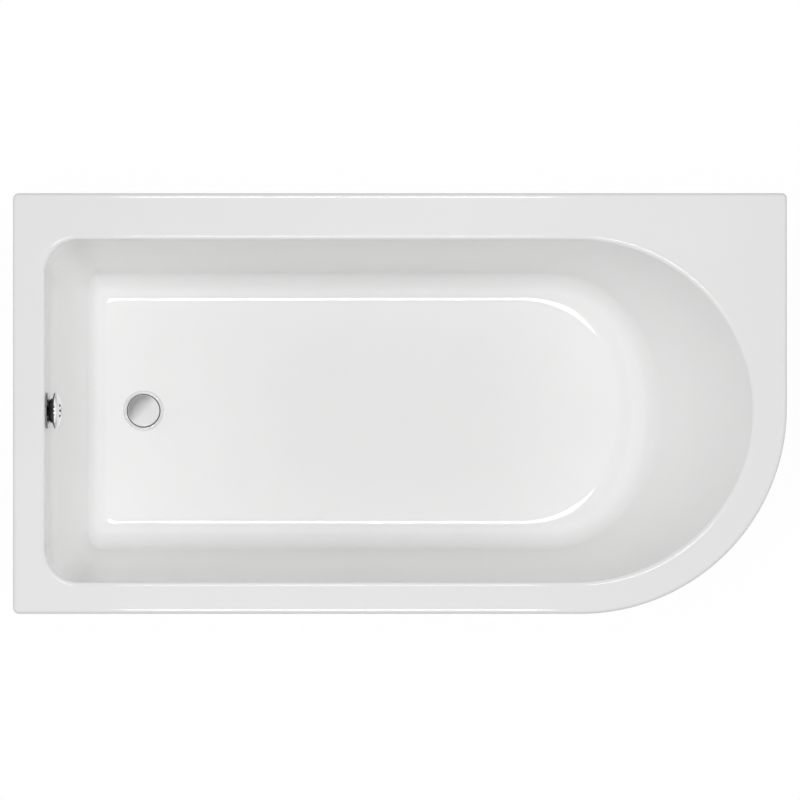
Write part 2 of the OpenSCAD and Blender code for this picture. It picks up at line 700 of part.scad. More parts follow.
// Ring of sides points round the route at s, with radius r, at y
function route_ring(top, y, s, r, sides) =
    let (p = route_point(top, s), a = route_angle(top, s))
    [for (k = [0:sides - 1]) let (t = 360 * k / sides, u = r * cos(t), v = r * sin(t))
        [p[0] + u * cos(a), y + v, p[1] + u * sin(a)]];

// Tube with an outside of its own and an optional bore, each a stack of rings
module tube(outside, bore) {
    n = len(outside[0]);
    a = len(outside);
    b = len(bore);
    function o(j, i) = j * n + i % n;
    function c(j, i) = (a + j) * n + i % n;
    walls = concat(
        [for (j = [0:a - 2]) for (i = [0:n - 1])
            each [[o(j, i), o(j, i + 1), o(j + 1, i)], [o(j, i + 1), o(j + 1, i + 1), o(j + 1, i)]]],
        [for (j = [0:b - 2]) for (i = [0:n - 1])
            each [[c(j, i), c(j + 1, i), c(j, i + 1)], [c(j, i + 1), c(j + 1, i), c(j + 1, i + 1)]]]);
    ends = b == 0
        ? [[for (i = [n - 1:-1:0]) o(0, i)], [for (i = [0:n - 1]) o(a - 1, i)]]
        : concat(
            [for (i = [0:n - 1]) each [[o(0, i), c(0, i), o(0, i + 1)], [o(0, i + 1), c(0, i), c(0, i + 1)]]],
            [for (i = [0:n - 1]) each [[o(a - 1, i), o(a - 1, i + 1), c(b - 1, i)],
                                       [o(a - 1, i + 1), c(b - 1, i + 1), c(b - 1, i)]]]);
    points = concat([for (r = outside) each r], [for (r = bore) each r]);
    polyhedron(points, concat(walls, ends), convexity = 10);
}

hose_top = outlet_top;
hose_length = route_length(hose_top, hose_end_x);
hose_ribs = 70;
hose_plain = 8;
hose_crest = 16.5;
hose_valley = 14.6;
hose_sides = 8;

// Ribbed hose: plain at both ends, a crest and a valley for each rib between
module overflow_hose() color("lightgray") {
    pitch = (hose_length - 2 * hose_plain) / hose_ribs;
    outside = concat(
        [route_ring(hose_top, axis_y, 0, hose_valley, hose_sides)],
        [for (k = [0:hose_ribs - 1]) each
            [route_ring(hose_top, axis_y, hose_plain + k * pitch, hose_valley, hose_sides),
             route_ring(hose_top, axis_y, hose_plain + (k + 0.5) * pitch, hose_crest, hose_sides)]],
        [route_ring(hose_top, axis_y, hose_length - hose_plain, hose_valley, hose_sides),
         route_ring(hose_top, axis_y, hose_length, hose_valley, hose_sides)]);
    bore = [for (k = [0:30]) route_ring(hose_top, axis_y, hose_length * k / 30, port_bore, hose_sides)];
    tube(outside, bore);
}

nut_outer_r = 19.5;
nut_bore_r = 17.2;
nut_low = -14;
nut_lip = 7;

// Union nut over a hose end, from the plain end; its lip grips the port behind
module hose_nut() {
    difference() {
        union() {
            ring(nut_bore_r, nut_outer_r, nut_low, nut_lip);
            ring(port_r + 0.05, nut_outer_r, 0, nut_lip);
        }
        for (a = [0:30:330]) rotate(a) translate([nut_outer_r + 0.4, 0, nut_low - 1])
            cylinder(h = 24, r = 1.4, $fn = 16);
    }
}
module hose_nut_upper() color("whitesmoke") translate([hose_x, axis_y, hose_top]) hose_nut();
module hose_nut_lower() color("whitesmoke")
    translate([hose_end_x, axis_y, port_z]) rotate([0, 90, 0]) hose_nut();

// Cable that joins the turning disc to the lever, held by a gland at each end
cable_top = gland_z;
cable_end_x = waste_x - 38;
cable_rings = 40;
module cable_sheath() color("black") {
    long = route_length(cable_top, cable_end_x);
    rings = [for (k = [0:cable_rings])
        route_ring(cable_top, axis_y + cable_offset, long * k / cable_rings, cable_r, 8)];
    tube(rings, []);
}
module cable_gland() {
    difference() {
        cylinder(h = 12, r = 4.6, $fn = 6);
        translate([0, 0, -1]) cylinder(h = 14, r = cable_r + 0.3, $fn = round_sides);
    }
}
module cable_gland_upper() color("dimgray")
    translate([hose_x, axis_y + cable_offset, cable_top - 12]) cable_gland();
module cable_gland_lower() color("dimgray")
    translate([cable_end_x - 12, axis_y + cable_offset, port_z]) rotate([0, 90, 0]) cable_gland();

acrylic_shell();
fibreglass_backing();
baseboard();
batten_back();
batten_front();
batten_left();
batten_right();
leg_rail_waste_end();
leg_rail_head_end();
centre_leg_plate();
rail_screws();
centre_plate_screws();
leg_nuts_upper();
leg_nuts_lower();
leg_rod_1();
leg_rod_2();
leg_rod_3();
leg_rod_4();
leg_rod_5();
foot_pad_1();
foot_pad_2();
foot_pad_3();
foot_pad_4();
foot_pad_5();
wall_bracket_1();
wall_bracket_2();
bracket_screws();
waste_flange();
waste_upper_seal();
waste_lower_seal();
waste_body();
plug_cap();
plug_seal();
plug_stem();
lift_lever();
lever_pin();
overflow_flange();
overflow_seal();
overflow_elbow();
overflow_knob();
knob_collar();
knob_spindle();
overflow_hose();
hose_nut_upper();
hose_nut_lower();
cable_sheath();
cable_gland_upper();
cable_gland_lower();
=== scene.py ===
"""Shower bath with a square waste end and a round head end, seen from straight above.

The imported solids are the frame. The tub, its fibre layer, the chrome fittings, hose, cable, legs and feet are
modelled here as smooth surfaces in the same place; sawn, folded and moulded pieces are softened copies.
Lengths are in millimetres until a mesh is made, and in metres from there on.
"""
import json
import math

import bmesh
import bpy
import numpy as np
from mathutils import Matrix, Vector

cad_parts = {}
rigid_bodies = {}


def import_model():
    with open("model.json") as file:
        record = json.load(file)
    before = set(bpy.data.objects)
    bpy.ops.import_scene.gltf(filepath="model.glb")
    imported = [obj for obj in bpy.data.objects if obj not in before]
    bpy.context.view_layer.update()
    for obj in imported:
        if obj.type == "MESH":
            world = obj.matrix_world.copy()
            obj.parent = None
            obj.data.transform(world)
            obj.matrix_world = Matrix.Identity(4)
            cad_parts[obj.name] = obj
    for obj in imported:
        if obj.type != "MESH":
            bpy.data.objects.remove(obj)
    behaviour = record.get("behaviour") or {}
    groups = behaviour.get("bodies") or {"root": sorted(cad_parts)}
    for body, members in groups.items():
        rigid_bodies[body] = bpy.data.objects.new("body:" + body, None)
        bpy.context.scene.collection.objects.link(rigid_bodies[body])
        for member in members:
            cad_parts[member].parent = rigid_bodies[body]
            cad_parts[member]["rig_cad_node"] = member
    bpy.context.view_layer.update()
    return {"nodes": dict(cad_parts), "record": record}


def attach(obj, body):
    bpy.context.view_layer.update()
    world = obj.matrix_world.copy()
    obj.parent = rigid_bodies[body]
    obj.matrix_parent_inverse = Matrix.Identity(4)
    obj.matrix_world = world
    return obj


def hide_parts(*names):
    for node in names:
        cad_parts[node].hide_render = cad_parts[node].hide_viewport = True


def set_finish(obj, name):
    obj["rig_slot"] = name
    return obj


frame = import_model()
MM = 0.001

# ---------- sizes of the tub, as in the solids apart from SOFT_ROLL and the floor's reach ----------
LEFT, RIGHT, FRONT, BACK = -750.0, 750.0, -407.5, 407.5
RIM, LIP_LOW, DEPTH = 545.0, 511.0, 390.0
OPEN_LEFT, OPEN_RIGHT, OPEN_FRONT, OPEN_BACK = -694.0, 689.0, -351.5, 323.5
AXIS_Y = (OPEN_FRONT + OPEN_BACK) / 2
OPEN_HALF = (OPEN_BACK - OPEN_FRONT) / 2
OPEN_CORNER, HEAD_X = 65.0, 346.0
BIG_CORNER, SMALL_CORNER, BACK_RIGHT_CORNER = 400.0, 12.0, 10.0
EDGE_ROUND, ROLL, SOFT_ROLL = 7.0, 6.0, 8.0
ACRYLIC, FIBRE = 5.0, 4.0
FLOOR_LEFT, FLOOR_HALF, FLOOR_CORNER = OPEN_LEFT + 124.7, OPEN_HALF - 127.8, 25.0
FLOOR_HEAD_X, FLOOR_HEAD_REACH = 223.0, 192.0
FLOOR_LOW, FLOOR_FALL = RIM - DEPTH, 6.0
BOARD_TOP = FLOOR_LOW - ACRYLIC - FIBRE
WASTE = np.array([-500.0, AXIS_Y])
OVERFLOW_DROP, LEAN = 42.0, math.radians(6.0)
OVERFLOW = np.array([OPEN_LEFT + ROLL + (OVERFLOW_DROP - ROLL) * math.tan(LEAN), AXIS_Y, RIM - OVERFLOW_DROP])
OVERFLOW_HOLE, FIBRE_GAP = 27.0, 42.0
FIBRE_HOLE, GLUE, NEAR_WALL = 46.4, 0.15, 30.0
# The lip's (inset, height); the wall's two leans in degrees, the depth of its bend and its fillet's radius
LIP = [(1.2, 0.0), (0.3, 0.3), (0.0, 1.2), (0.0, 9.0), (0.0, 18.0)]
SIDE_WALL, HEAD_WALL, END_WALL = (10.3, 10.3, 100, 61), (26.5, 26.5, 100, 100), (6, 22, 82, 42)
# (radius, height) of the recess round the waste, and of the thicker pad below it
RECESS_REACH = 48.0
RECESS = [(40.8, 155), (39.9, 155), (39.1, 154.8), (38.6, 154.2), (38.5, 153.2), (38.3, 152.2), (37.5, 151.6),
          (36.5, 151.5), (35.9, 151.5), (30, 151.5), (26.5, 151.5), (26, 151.2)]
PAD = [(47.6, 150), (47, 150), (46.2, 149.8), (46, 149.2), (46, 148.4), (45.8, 147.4), (45, 147.05),
       (44, 147), (43.4, 147), (32, 147), (26.5, 147), (26, 147.3)]

# Steps round the tub and down its wall
CORNER_STEPS, END_STEPS, SIDE_STEPS, ARC_STEPS = 26, 58, 40, 72
EDGE_STEPS, RIM_RINGS = 8, 5
ROLL_STEPS, WALL_TOP_STEPS, WALL_LOW_STEPS, FILLET_STEPS, FLOOR_STEPS = 8, 22, 20, 18, 10
# The head end's upper quarter has closer steps in this span of angles, where the rim's corner is
NEAR_STEPS, NEAR_FROM, NEAR_SPAN = 12, 42, 6


# ---------- meshes ----------
def add_object(name, data):
    """A new object in the scene."""
    thing = bpy.data.objects.new(name, data)
    bpy.context.scene.collection.objects.link(thing)
    return thing


def add_mesh(name, points, faces):
    """A new object from points in millimetres."""
    mesh = bpy.data.meshes.new(name)
    mesh.from_pydata((np.asarray(points, float) * MM).tolist(), [], [list(map(int, f)) for f in faces])
    mesh.update()
    return add_object(name, mesh)


def settle(thing, body, slot, replaces=(), smooth=True):
    """Shading, body, finish slot and the solids that the piece stands for."""
    thing.data.polygons.foreach_set("use_smooth", [smooth] * len(thing.data.polygons))
    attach(thing, body)
    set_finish(thing, slot)
    if replaces:
        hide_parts(*replaces)
    return thing


def grid_faces(rows, columns, keep=None):
    """Quads of a grid of points that closes round its columns; keep is a mask of the quads to make."""
    j, i = np.meshgrid(np.arange(rows - 1), np.arange(columns), indexing="ij")
    following = (i + 1) % columns
    quads = np.stack([j * columns + i, (j + 1) * columns + i, (j + 1) * columns + following,
                      j * columns + following], -1)
    return quads[keep] if keep is not None else quads.reshape(-1, 4)


def closed_faces(rows, columns):
    """Quads of a grid of points that closes both ways."""
    return grid_faces(rows + 1, columns) % (rows * columns)


def rework(data, change, into=None):
    """Runs a change on a mesh and writes it back, or into another mesh."""
    mesh = bmesh.new()
    mesh.from_mesh(data)
    change(mesh)
    mesh.to_mesh(into or data)
    mesh.free()


def tidy_normals(thing):
    """Merges doubles and turns every face outwards."""
    def change(mesh):
        bmesh.ops.remove_doubles(mesh, verts=mesh.verts, dist=1e-6)
        bmesh.ops.recalc_face_normals(mesh, faces=mesh.faces)
    rework(thing.data, change)
    return thing


def crisp(thing, degrees):
    """Marks edges sharper than an angle, so that shading breaks there."""
    def change(mesh):
        for edge in mesh.edges:
            edge.smooth = edge.is_manifold and edge.calc_face_angle(0) < math.radians(degrees)
    rework(thing.data, change)


# ---------- outlines of the tub ----------
def shares(count, first=0):
    """Shares 0, 1/n, 2/n ... without the last 1; or from 1/n to 1, with first as 1."""
    return np.arange(first, count + first) / count


def circle(count):
    """Angles all the way round."""
    return 2 * math.pi * np.arange(count) / count


def arc(cx, cy, rx, ry, start, end, count):
    """Points on an ellipse from angle start to angle end, in degrees, without the last."""
    t = np.radians(start + (end - start) * shares(count))
    return np.stack([cx + rx * np.cos(t), cy + ry * np.sin(t)], 1)


def line(p, q, way):
    """Points at the given shares of the way from p to q."""
    return np.array(p) + (np.array(q) - np.array(p)) * np.asarray(way)[:, None]


def end_way():
    """Shares along the waste end, close together at its middle: 0.35 u + 0.65 u cubed, for u from -1 to 1."""
    u = 2 * shares(END_STEPS) - 1
    return 0.5 + 0.5 * (0.35 * u + 0.65 * u ** 3)


def upper_angles():
    """Angles of the head end's upper quarter."""
    wide = (ARC_STEPS - NEAR_STEPS) // 2
    return np.concatenate([NEAR_FROM * shares(wide), NEAR_FROM + NEAR_SPAN * shares(NEAR_STEPS),
                           NEAR_FROM + NEAR_SPAN + NEAR_FROM * shares(wide)])


def whole_outline(x0, y0, y1, c, head_x, lower, upper):
    """The waste end with its two corners of radius c, both sides, and the given quarters of the head end."""
    return np.concatenate([
        arc(x0 + c, y1 - c, c, c, 90, 180, CORNER_STEPS),
        line([x0, y1 - c], [x0, y0 + c], end_way()),
        arc(x0 + c, y0 + c, c, c, 180, 270, CORNER_STEPS),
        line([x0 + c, y0], [head_x, y0], shares(SIDE_STEPS)),
        lower, upper,
        line([head_x, y1], [x0 + c, y1], shares(SIDE_STEPS))])


def tub_outline(x0, half, corner, head_x, head_reach):
    """Square end with round corners, straight sides and half an ellipse at the head end."""
    turn = np.radians(upper_angles())
    lower = arc(head_x, AXIS_Y, head_reach, half, -90, 0, ARC_STEPS)
    upper = np.stack([head_x + head_reach * np.cos(turn), AXIS_Y + half * np.sin(turn)], 1)
    return whole_outline(x0, AXIS_Y - half, AXIS_Y + half, corner, head_x, lower, upper)


def rim_outline(inset):
    """Rectangle with three small corners and one big one at the front right, moved in by inset."""
    c, b, r = SMALL_CORNER - inset, BIG_CORNER - inset, BACK_RIGHT_CORNER - inset
    x0, x1, y0, y1 = LEFT + inset, RIGHT - inset, FRONT + inset, BACK - inset
    bx, by = RIGHT - BIG_CORNER, FRONT + BIG_CORNER
    angle = upper_angles()
    full = math.tan(math.radians(NEAR_FROM))
    rise, back = np.tan(np.radians(angle)) / full, np.tan(np.radians(90 - angle)) / full
    turn = np.radians((angle - NEAR_FROM) * 90 / NEAR_SPAN)
    on = [angle < NEAR_FROM, angle < NEAR_FROM + NEAR_SPAN]
    x = np.select(on, [x1, x1 - r + r * np.cos(turn)], bx + (x1 - r - bx) * back)
    y = np.select(on, [by + (y1 - r - by) * rise, y1 - r + r * np.sin(turn)], y1)
    return whole_outline(x0, y0, y1, c, bx, arc(bx, by, b, b, -90, 0, ARC_STEPS), np.stack([x, y], 1))


def wall_weights():
    """Share of the head end's wall form and of the waste end's wall form at each station."""
    rest = np.zeros(2 * SIDE_STEPS + 2 * ARC_STEPS)
    lower, turn = np.radians(90 * shares(ARC_STEPS)), np.radians(90 * shares(CORNER_STEPS))
    head = np.concatenate([np.zeros(2 * CORNER_STEPS + END_STEPS + SIDE_STEPS), np.sin(lower) ** 2,
                           np.cos(np.radians(upper_angles())) ** 2, np.zeros(SIDE_STEPS)])
    return head, np.concatenate([np.sin(turn) ** 2, np.ones(END_STEPS), np.cos(turn) ** 2, rest])


def wall_profile(top_lean, low_lean, bend, fillet):
    """Inset and depth of the wall, each as a share of its total, from the rim's edge to the floor.

    A quarter roll, a wall that leans by top_lean down to the bend and then curves evenly to low_lean, and a
    fillet that ends level with the floor."""
    a, b = math.radians(top_lean), math.radians(low_lean)
    d1, d2 = SOFT_ROLL * (1 - math.sin(a)), DEPTH - fillet * (1 - math.sin(b))
    curve = (math.tan(b) - math.tan(a)) / (2 * (d2 - bend))
    roll = (math.pi / 2 - a) * shares(ROLL_STEPS, 1)
    down = np.concatenate([0.25 * shares(WALL_TOP_STEPS, 1), 0.25 + 0.75 * shares(WALL_LOW_STEPS, 1)])
    depth = d1 + (d2 - d1) * down
    wall = SOFT_ROLL * math.cos(a) + (depth - d1) * math.tan(a) + curve * np.maximum(0, depth - bend) ** 2
    turn = b + (math.pi / 2 - b) * shares(FILLET_STEPS, 1)
    inset = np.concatenate([SOFT_ROLL * np.sin(roll), wall, wall[-1] + fillet * (math.cos(b) - np.cos(turn))])
    deep = np.concatenate([SOFT_ROLL * (1 - np.cos(roll)), depth, DEPTH - fillet * (1 - np.sin(turn))])
    return inset / inset[-1], deep / DEPTH


def floor_height(x):
    """Height of the tub's floor, which falls to the waste along the length."""
    return FLOOR_LOW + FLOOR_FALL * np.maximum(0, x - WASTE[0]) / (FLOOR_HEAD_X - WASTE[0])


def ring_at(outline, z):
    """An outline lifted to one height."""
    return np.column_stack([outline, np.full(len(outline), z)])


def tub_rings():
    """Rings of the wet face from the lip's lower edge to the waste hole, and the same rings of the dry face.

    The dry face is the wet one moved along its normals by the acrylic's thickness. Rings beside each rounding
    keep the flat rim flat in its shading. Round the waste both faces are circles: a shallow recess above and
    a thicker pad below."""
    wider = (SOFT_ROLL - ROLL) * 0.9
    opening, before = [tub_outline(OPEN_LEFT - out, OPEN_HALF + out, OPEN_CORNER + out, HEAD_X,
                                   OPEN_RIGHT - HEAD_X + out) for out in (wider, wider + 1.5)]
    floor_line = tub_outline(FLOOR_LEFT, FLOOR_HALF, FLOOR_CORNER, FLOOR_HEAD_X, FLOOR_HEAD_REACH)
    rings = [ring_at(rim_outline(inset), LIP_LOW + up) for inset, up in LIP]
    for a in np.radians(90 * np.arange(EDGE_STEPS + 1) / EDGE_STEPS):
        inset, down = EDGE_ROUND * (1 - math.cos(a)), EDGE_ROUND * (1 - math.sin(a))
        rings.append(ring_at(rim_outline(inset), RIM - down))
    inner_edge = rings[-1][:, :2]
    flat = [inner_edge + (opening - inner_edge) * way for way in (0.33, 0.67)]
    rings += [ring_at(outline, RIM) for outline in (rim_outline(EDGE_ROUND + 2.2), *flat, before, opening)]
    head, end = wall_weights()
    forms = [wall_profile(*wall) for wall in (SIDE_WALL, HEAD_WALL, END_WALL)]
    inset, deep = [sum(np.outer(form[k], share) for form, share in zip(forms, (1 - head - end, head, end)))
                   for k in (0, 1)]
    plan = opening[None] + (floor_line - opening)[None] * inset[..., None]
    height = RIM - deep * (RIM - floor_height(floor_line[:, 0]))[None]
    rings += list(np.concatenate([plan, height[..., None]], 2))
    away = floor_line - WASTE
    round_way = away / np.linalg.norm(away, axis=1)[:, None]
    for s in 1 - shares(FLOOR_STEPS, 1):
        p = WASTE + away * s + round_way * RECESS_REACH * (1 - s)
        rings.append(np.column_stack([p, floor_height(p[:, 0])]))
    wet = np.array(rings)
    round_ring = np.roll(wet, -1, 1) - np.roll(wet, 1, 1)
    down_ring = np.gradient(wet, axis=0)
    normal = np.cross(round_ring, down_ring)
    normal /= np.linalg.norm(normal, axis=2)[..., None]
    dry = wet - normal * ACRYLIC
    for k, (inset_in, up) in enumerate(LIP[:3]):
        dry[k] = ring_at(rim_outline(ACRYLIC - inset_in), LIP_LOW + up)
    wet, dry = [np.concatenate([face] + [ring_at(WASTE + round_way * r, z)[None] for r, z in hole])
                for face, hole in ((wet, RECESS), (dry, PAD))]
    return wet, dry, normal, round_way


LEAN_OUT = np.array([math.cos(LEAN), 0, math.sin(LEAN)])
LEAN_DOWN = np.array([math.sin(LEAN), 0, -math.cos(LEAN)])


def open_round(points, radius):
    """Opens a round hole of that radius about the overflow's axis in a grid of points.

    Quads whose middle lies inside are left out, and the corners on the hole's edge move onto the circle.
    Returns the points and the mask of the quads that stay."""
    rel = points - OVERFLOW
    u, v = rel @ LEAN_DOWN, rel[..., 1]
    middle = (points[:-1] + points[1:]) / 2
    middle = (middle + np.roll(middle, -1, 1)) / 2 - OVERFLOW
    away = np.hypot(middle @ LEAN_DOWN, middle[..., 1])
    keep = (away > radius) | (np.abs(middle @ LEAN_OUT) > NEAR_WALL)
    gone, stays = np.zeros((2, *points.shape[:2]), bool)
    for mask, quads in ((gone, ~keep), (stays, keep)):
        touched = quads | np.roll(quads, 1, 1)
        mask[:-1] |= touched
        mask[1:] |= touched
    edge = gone & stays & (np.abs(rel @ LEAN_OUT) < NEAR_WALL)
    grow = np.where(edge, radius / np.maximum(np.hypot(u, v), 1e-6), 1.0)
    points = points + ((grow - 1) * u)[..., None] * LEAN_DOWN
    points[..., 1] += (grow - 1) * v
    return points, keep


def double_skin(name, wet, dry, keep, slot, replaces):
    """A closed wall between two grids of the same shape, made of the quads inside the mask."""
    rows, columns = wet.shape[:2]
    count = rows * columns
    points = np.concatenate([wet.reshape(-1, 3), dry.reshape(-1, 3)])
    quads = grid_faces(rows, columns, keep)
    edges = np.concatenate([quads[:, [k, (k + 1) % 4]] for k in range(4)])
    _, where, times = np.unique(np.sort(edges, 1), axis=0, return_index=True, return_counts=True)
    a, b = edges[where[times == 1]].T
    faces = [quads, quads[:, ::-1] + count, np.stack([b, a, a + count, b + count], -1)]
    thing = settle(add_mesh(name, points, np.concatenate(faces)), "root", slot, replaces)

    def change(mesh):
        bmesh.ops.delete(mesh, geom=[v for v in mesh.verts if not v.link_faces], context="VERTS")
        bmesh.ops.recalc_face_normals(mesh, faces=mesh.faces)
    rework(thing.data, change)


def make_tub():
    """The acrylic tub, and the fibre layer sprayed on its dry side."""
    wet, dry, normal, round_way = tub_rings()
    wet_open, keep = open_round(wet, OVERFLOW_HOLE)
    dry_open, _ = open_round(dry, OVERFLOW_HOLE)
    double_skin("acrylic_tub", wet_open, dry_open, keep, "acrylic", ["acrylic_shell"])
    first = len(LIP) + EDGE_STEPS + 1 + RIM_RINGS + ROLL_STEPS + WALL_TOP_STEPS // 5 * 4
    last = len(normal)
    wet, normal = wet[first:last], normal[first:]
    inner, outer = wet - normal * (ACRYLIC + GLUE), wet - normal * (ACRYLIC + FIBRE)
    level = np.arange(first, last) >= last - FLOOR_STEPS - 1
    outer[..., 2] = np.where(level[:, None], BOARD_TOP, np.maximum(outer[..., 2], BOARD_TOP))
    rough = strand_relief(outer) * ~level[:, None]
    rough[:2] *= 0.3
    outer += normal * rough[..., None]
    hole = WASTE + round_way * FIBRE_HOLE
    inner = np.concatenate([inner, ring_at(hole, FLOOR_LOW - ACRYLIC - GLUE)[None]])
    outer = np.concatenate([outer, ring_at(hole, BOARD_TOP)[None]])
    outer_open, keep = open_round(outer, FIBRE_GAP)
    inner_open, _ = open_round(inner, FIBRE_GAP)
    double_skin("fibre_layer", inner_open, outer_open, keep, "glass_fibre", ["fibreglass_backing"])


def strand_relief(points):
    """Hollows of a sprayed fibre surface, 0 to 1.4 mm deep: sums of crossed waves of several lengths."""
    x, y, z = np.moveaxis(points, -1, 0)
    total = 0
    for k, length in enumerate((74.0, 41.0, 23.0, 13.0)):
        a = 2 * math.pi / length
        total += np.sin(a * (x + 0.7 * z) + 1.7 * k) * np.sin(a * (y - 0.6 * z) + 2.9 * k) / (1.4 ** k)
    return 0.7 + 0.7 * np.clip(total / 1.8, -1, 1)


# ---------- turned pieces ----------
def frame_of(origin, out, side):
    """Matrix whose columns are side, the third direction and out, with its origin in millimetres."""
    out, side = Vector(out).normalized(), Vector(side).normalized()
    m = Matrix((side, out.cross(side), out)).transposed().to_4x4()
    m.translation = Vector(origin)
    return np.array(m)


def placed(points, place):
    """Points of a piece's own frame, in the object's frame."""
    return np.asarray(points, float) @ place[:3, :3].T + place[:3, 3]


def upright(x, y, z):
    """The frame of a piece that stands upright on a point."""
    return frame_of((x, y, z), (0, 0, 1), (1, 0, 0))


AT_OVERFLOW = frame_of(OVERFLOW, LEAN_OUT, LEAN_DOWN)
AT_WASTE = upright(*WASTE, 0)


def soften(profile, radius):
    """Rounds every corner of a closed profile that isn't on the axis, with an arc of at most that radius.

    Each corner is replaced by points of the quadratic curve between points on its two sides."""
    p = np.asarray(profile, float)
    a, b = np.roll(p, 1, 0) - p, np.roll(p, -1, 0) - p
    la, lb = np.linalg.norm(a, axis=1), np.linalg.norm(b, axis=1)
    cut = np.where(p[:, 0] < 1e-6, 0, np.minimum(radius, np.minimum(la, lb) * 0.45))
    start, end = p + a * (cut / la)[:, None], p + b * (cut / lb)[:, None]
    t = np.linspace(0, 1, 4)[None, :, None]
    curves = (1 - t) ** 2 * start[:, None] + 2 * t * (1 - t) * p[:, None] + t ** 2 * end[:, None]
    return curves.reshape(-1, 2)


def lathe(profile, place, steps=96, radius=0.4, wobble=None):
    """Points and quads of a closed profile of (radius, height) turned about the frame's axis.

    wobble(angle, r, z) may give another radius at each angle, as for grips and threads."""
    p = soften(profile, radius)
    angle = circle(steps)
    r, z = [np.repeat(column[:, None], steps, 1) for column in p.T]
    if wobble is not None:
        r = wobble(angle[None], r, z)
    points = np.stack([r * np.cos(angle), r * np.sin(angle), z], -1)
    return placed(points.reshape(-1, 3), place), closed_faces(len(p), steps)


def screw_wave(angle, z, pitch):
    """A rounded saw wave from 0 to 1 that winds up a shaft, one turn for each pitch."""
    return np.abs(((z / pitch - angle / (2 * math.pi)) % 1) * 2 - 1)


def tube(inside, outside, low, high):
    """The profile of a plain tube or disc."""
    return [(inside, low), (outside, low), (outside, high), (inside, high)]


def piece(node, parts, body, slot, name=None, **options):
    """Several (points, faces) as one piece, which stands for the solid of that node, if there is one."""
    points, faces, start = [], [], 0
    for p, f in parts:
        points.append(p)
        faces += [[k + start for k in quad] for quad in f]
        start += len(p)
    thing = add_mesh(name or node + "_piece", np.concatenate(points), faces)
    return tidy_normals(settle(thing, body, slot, [node] if node else (), **options))


def turned(node, profile, place, body, slot, name=None, **options):
    """A turned piece."""
    return piece(node, [lathe(profile, place, **options)], body, slot, name)


def softened(node, body, slot, bevel):
    """A copy of a solid with its loose triangles merged and its edges rounded, standing for the solid."""
    def change(mesh):
        bmesh.ops.remove_doubles(mesh, verts=mesh.verts, dist=2e-6)
        bmesh.ops.dissolve_limit(mesh, angle_limit=math.radians(2), verts=mesh.verts, edges=mesh.edges)
        bmesh.ops.recalc_face_normals(mesh, faces=mesh.faces)
    data = bpy.data.meshes.new(node + "_piece")
    rework(frame["nodes"][node].data, change, data)
    thing = add_object(node + "_piece", data)
    rounding = thing.modifiers.new("rounding", "BEVEL")
    rounding.width = bevel * MM
    rounding.segments = 2
    rounding.limit_method = "ANGLE"
    rounding.angle_limit = math.radians(40)
    rounding.harden_normals = True
    settle(thing, body, slot, [node])


# ---------- hose and cable ----------
HOSE_X = OVERFLOW[0] - 25 * math.cos(LEAN)
PORT_Z, HOSE_BEND, CABLE_SIDE = 112.0, 110.0, 24.5
HOSE_TOP, CABLE_TOP = 441.0, 468.0
HOSE_END, CABLE_END = WASTE[0] - 58, WASTE[0] - 38
LEVER_PIVOT, OUTLET_R = 119.6, 23.9


def route(top, end_x, y, count):
    """A pipe that drops, turns a quarter bend and runs level to the waste.

    Returns its points and side directions, the way along it at each point, and its whole length."""
    down, quarter = top - PORT_Z - HOSE_BEND, math.pi / 2 * HOSE_BEND
    total = down + quarter + (end_x - HOSE_X - HOSE_BEND)
    s = total * np.arange(count) / (count - 1)
    turn = np.clip((s - down) / HOSE_BEND, 0, math.pi / 2)
    x = HOSE_X + HOSE_BEND * (1 - np.cos(turn)) + np.maximum(0, s - down - quarter)
    z = np.where(s < down, top - s, PORT_Z + HOSE_BEND * (1 - np.sin(turn)))
    points = np.stack([x, np.full(count, y), z], 1)
    side = np.stack([np.cos(turn), np.zeros(count), np.sin(turn)], 1)
    return points, side, s, total


def swept(points, side, radius, sides):
    """Rings of that radius round a path's points, between its side directions and +Y."""
    t = circle(sides)
    across = np.cos(t)[None, :, None] * side[:, None] + np.sin(t)[None, :, None] * np.array([0, 1.0, 0])
    return points[:, None] + across * np.broadcast_to(radius, len(points))[:, None, None]


def closed_shaft(rings, ends):
    """Points and faces of a shaft made of rings, closed at both ends round a middle point each."""
    rows, sides = rings.shape[:2]
    count = rows * sides
    last = count - sides
    caps = [[(k + 1) % sides, k, count] for k in range(sides)]
    caps += [[last + k, last + (k + 1) % sides, count + 1] for k in range(sides)]
    return np.concatenate([rings.reshape(-1, 3), ends]), [*grid_faces(rows, sides), *caps]


def make_hose():
    """Ribbed overflow hose: its radius swells by a rounded wave for each rib, and is plain at both ends."""
    ribs, plain, steps, sides = 70, 8.0, 8, 36
    centres, side, s, total = route(HOSE_TOP, HOSE_END, AXIS_Y, ribs * steps + 1)
    pitch = (total - 2 * plain) / ribs
    wave = (0.5 - 0.5 * np.cos(2 * math.pi * (s - plain) / pitch)) ** 0.7
    wave = np.where((s > plain) & (s < total - plain), wave, 0)
    outside, inside = [swept(centres, side, r, sides) for r in (14.6 + 1.9 * wave, 12.2 + 1.5 * wave)]
    rings = np.concatenate([outside, inside[::-1]])
    shell = rings.reshape(-1, 3), closed_faces(len(rings), sides)
    piece("overflow_hose", [shell], "root", "hose_plastic", "ribbed_hose")


def make_cable():
    """Round cable sheath from the overflow's gland to the waste's gland, with closed ends."""
    centres, side = route(CABLE_TOP, CABLE_END, AXIS_Y + CABLE_SIDE, 120)[:2]
    shaft = closed_shaft(swept(centres, side, 2.5, 20), centres[[0, -1]])
    piece("cable_sheath", [shaft], "root", "cable_plastic", "cable_outer")


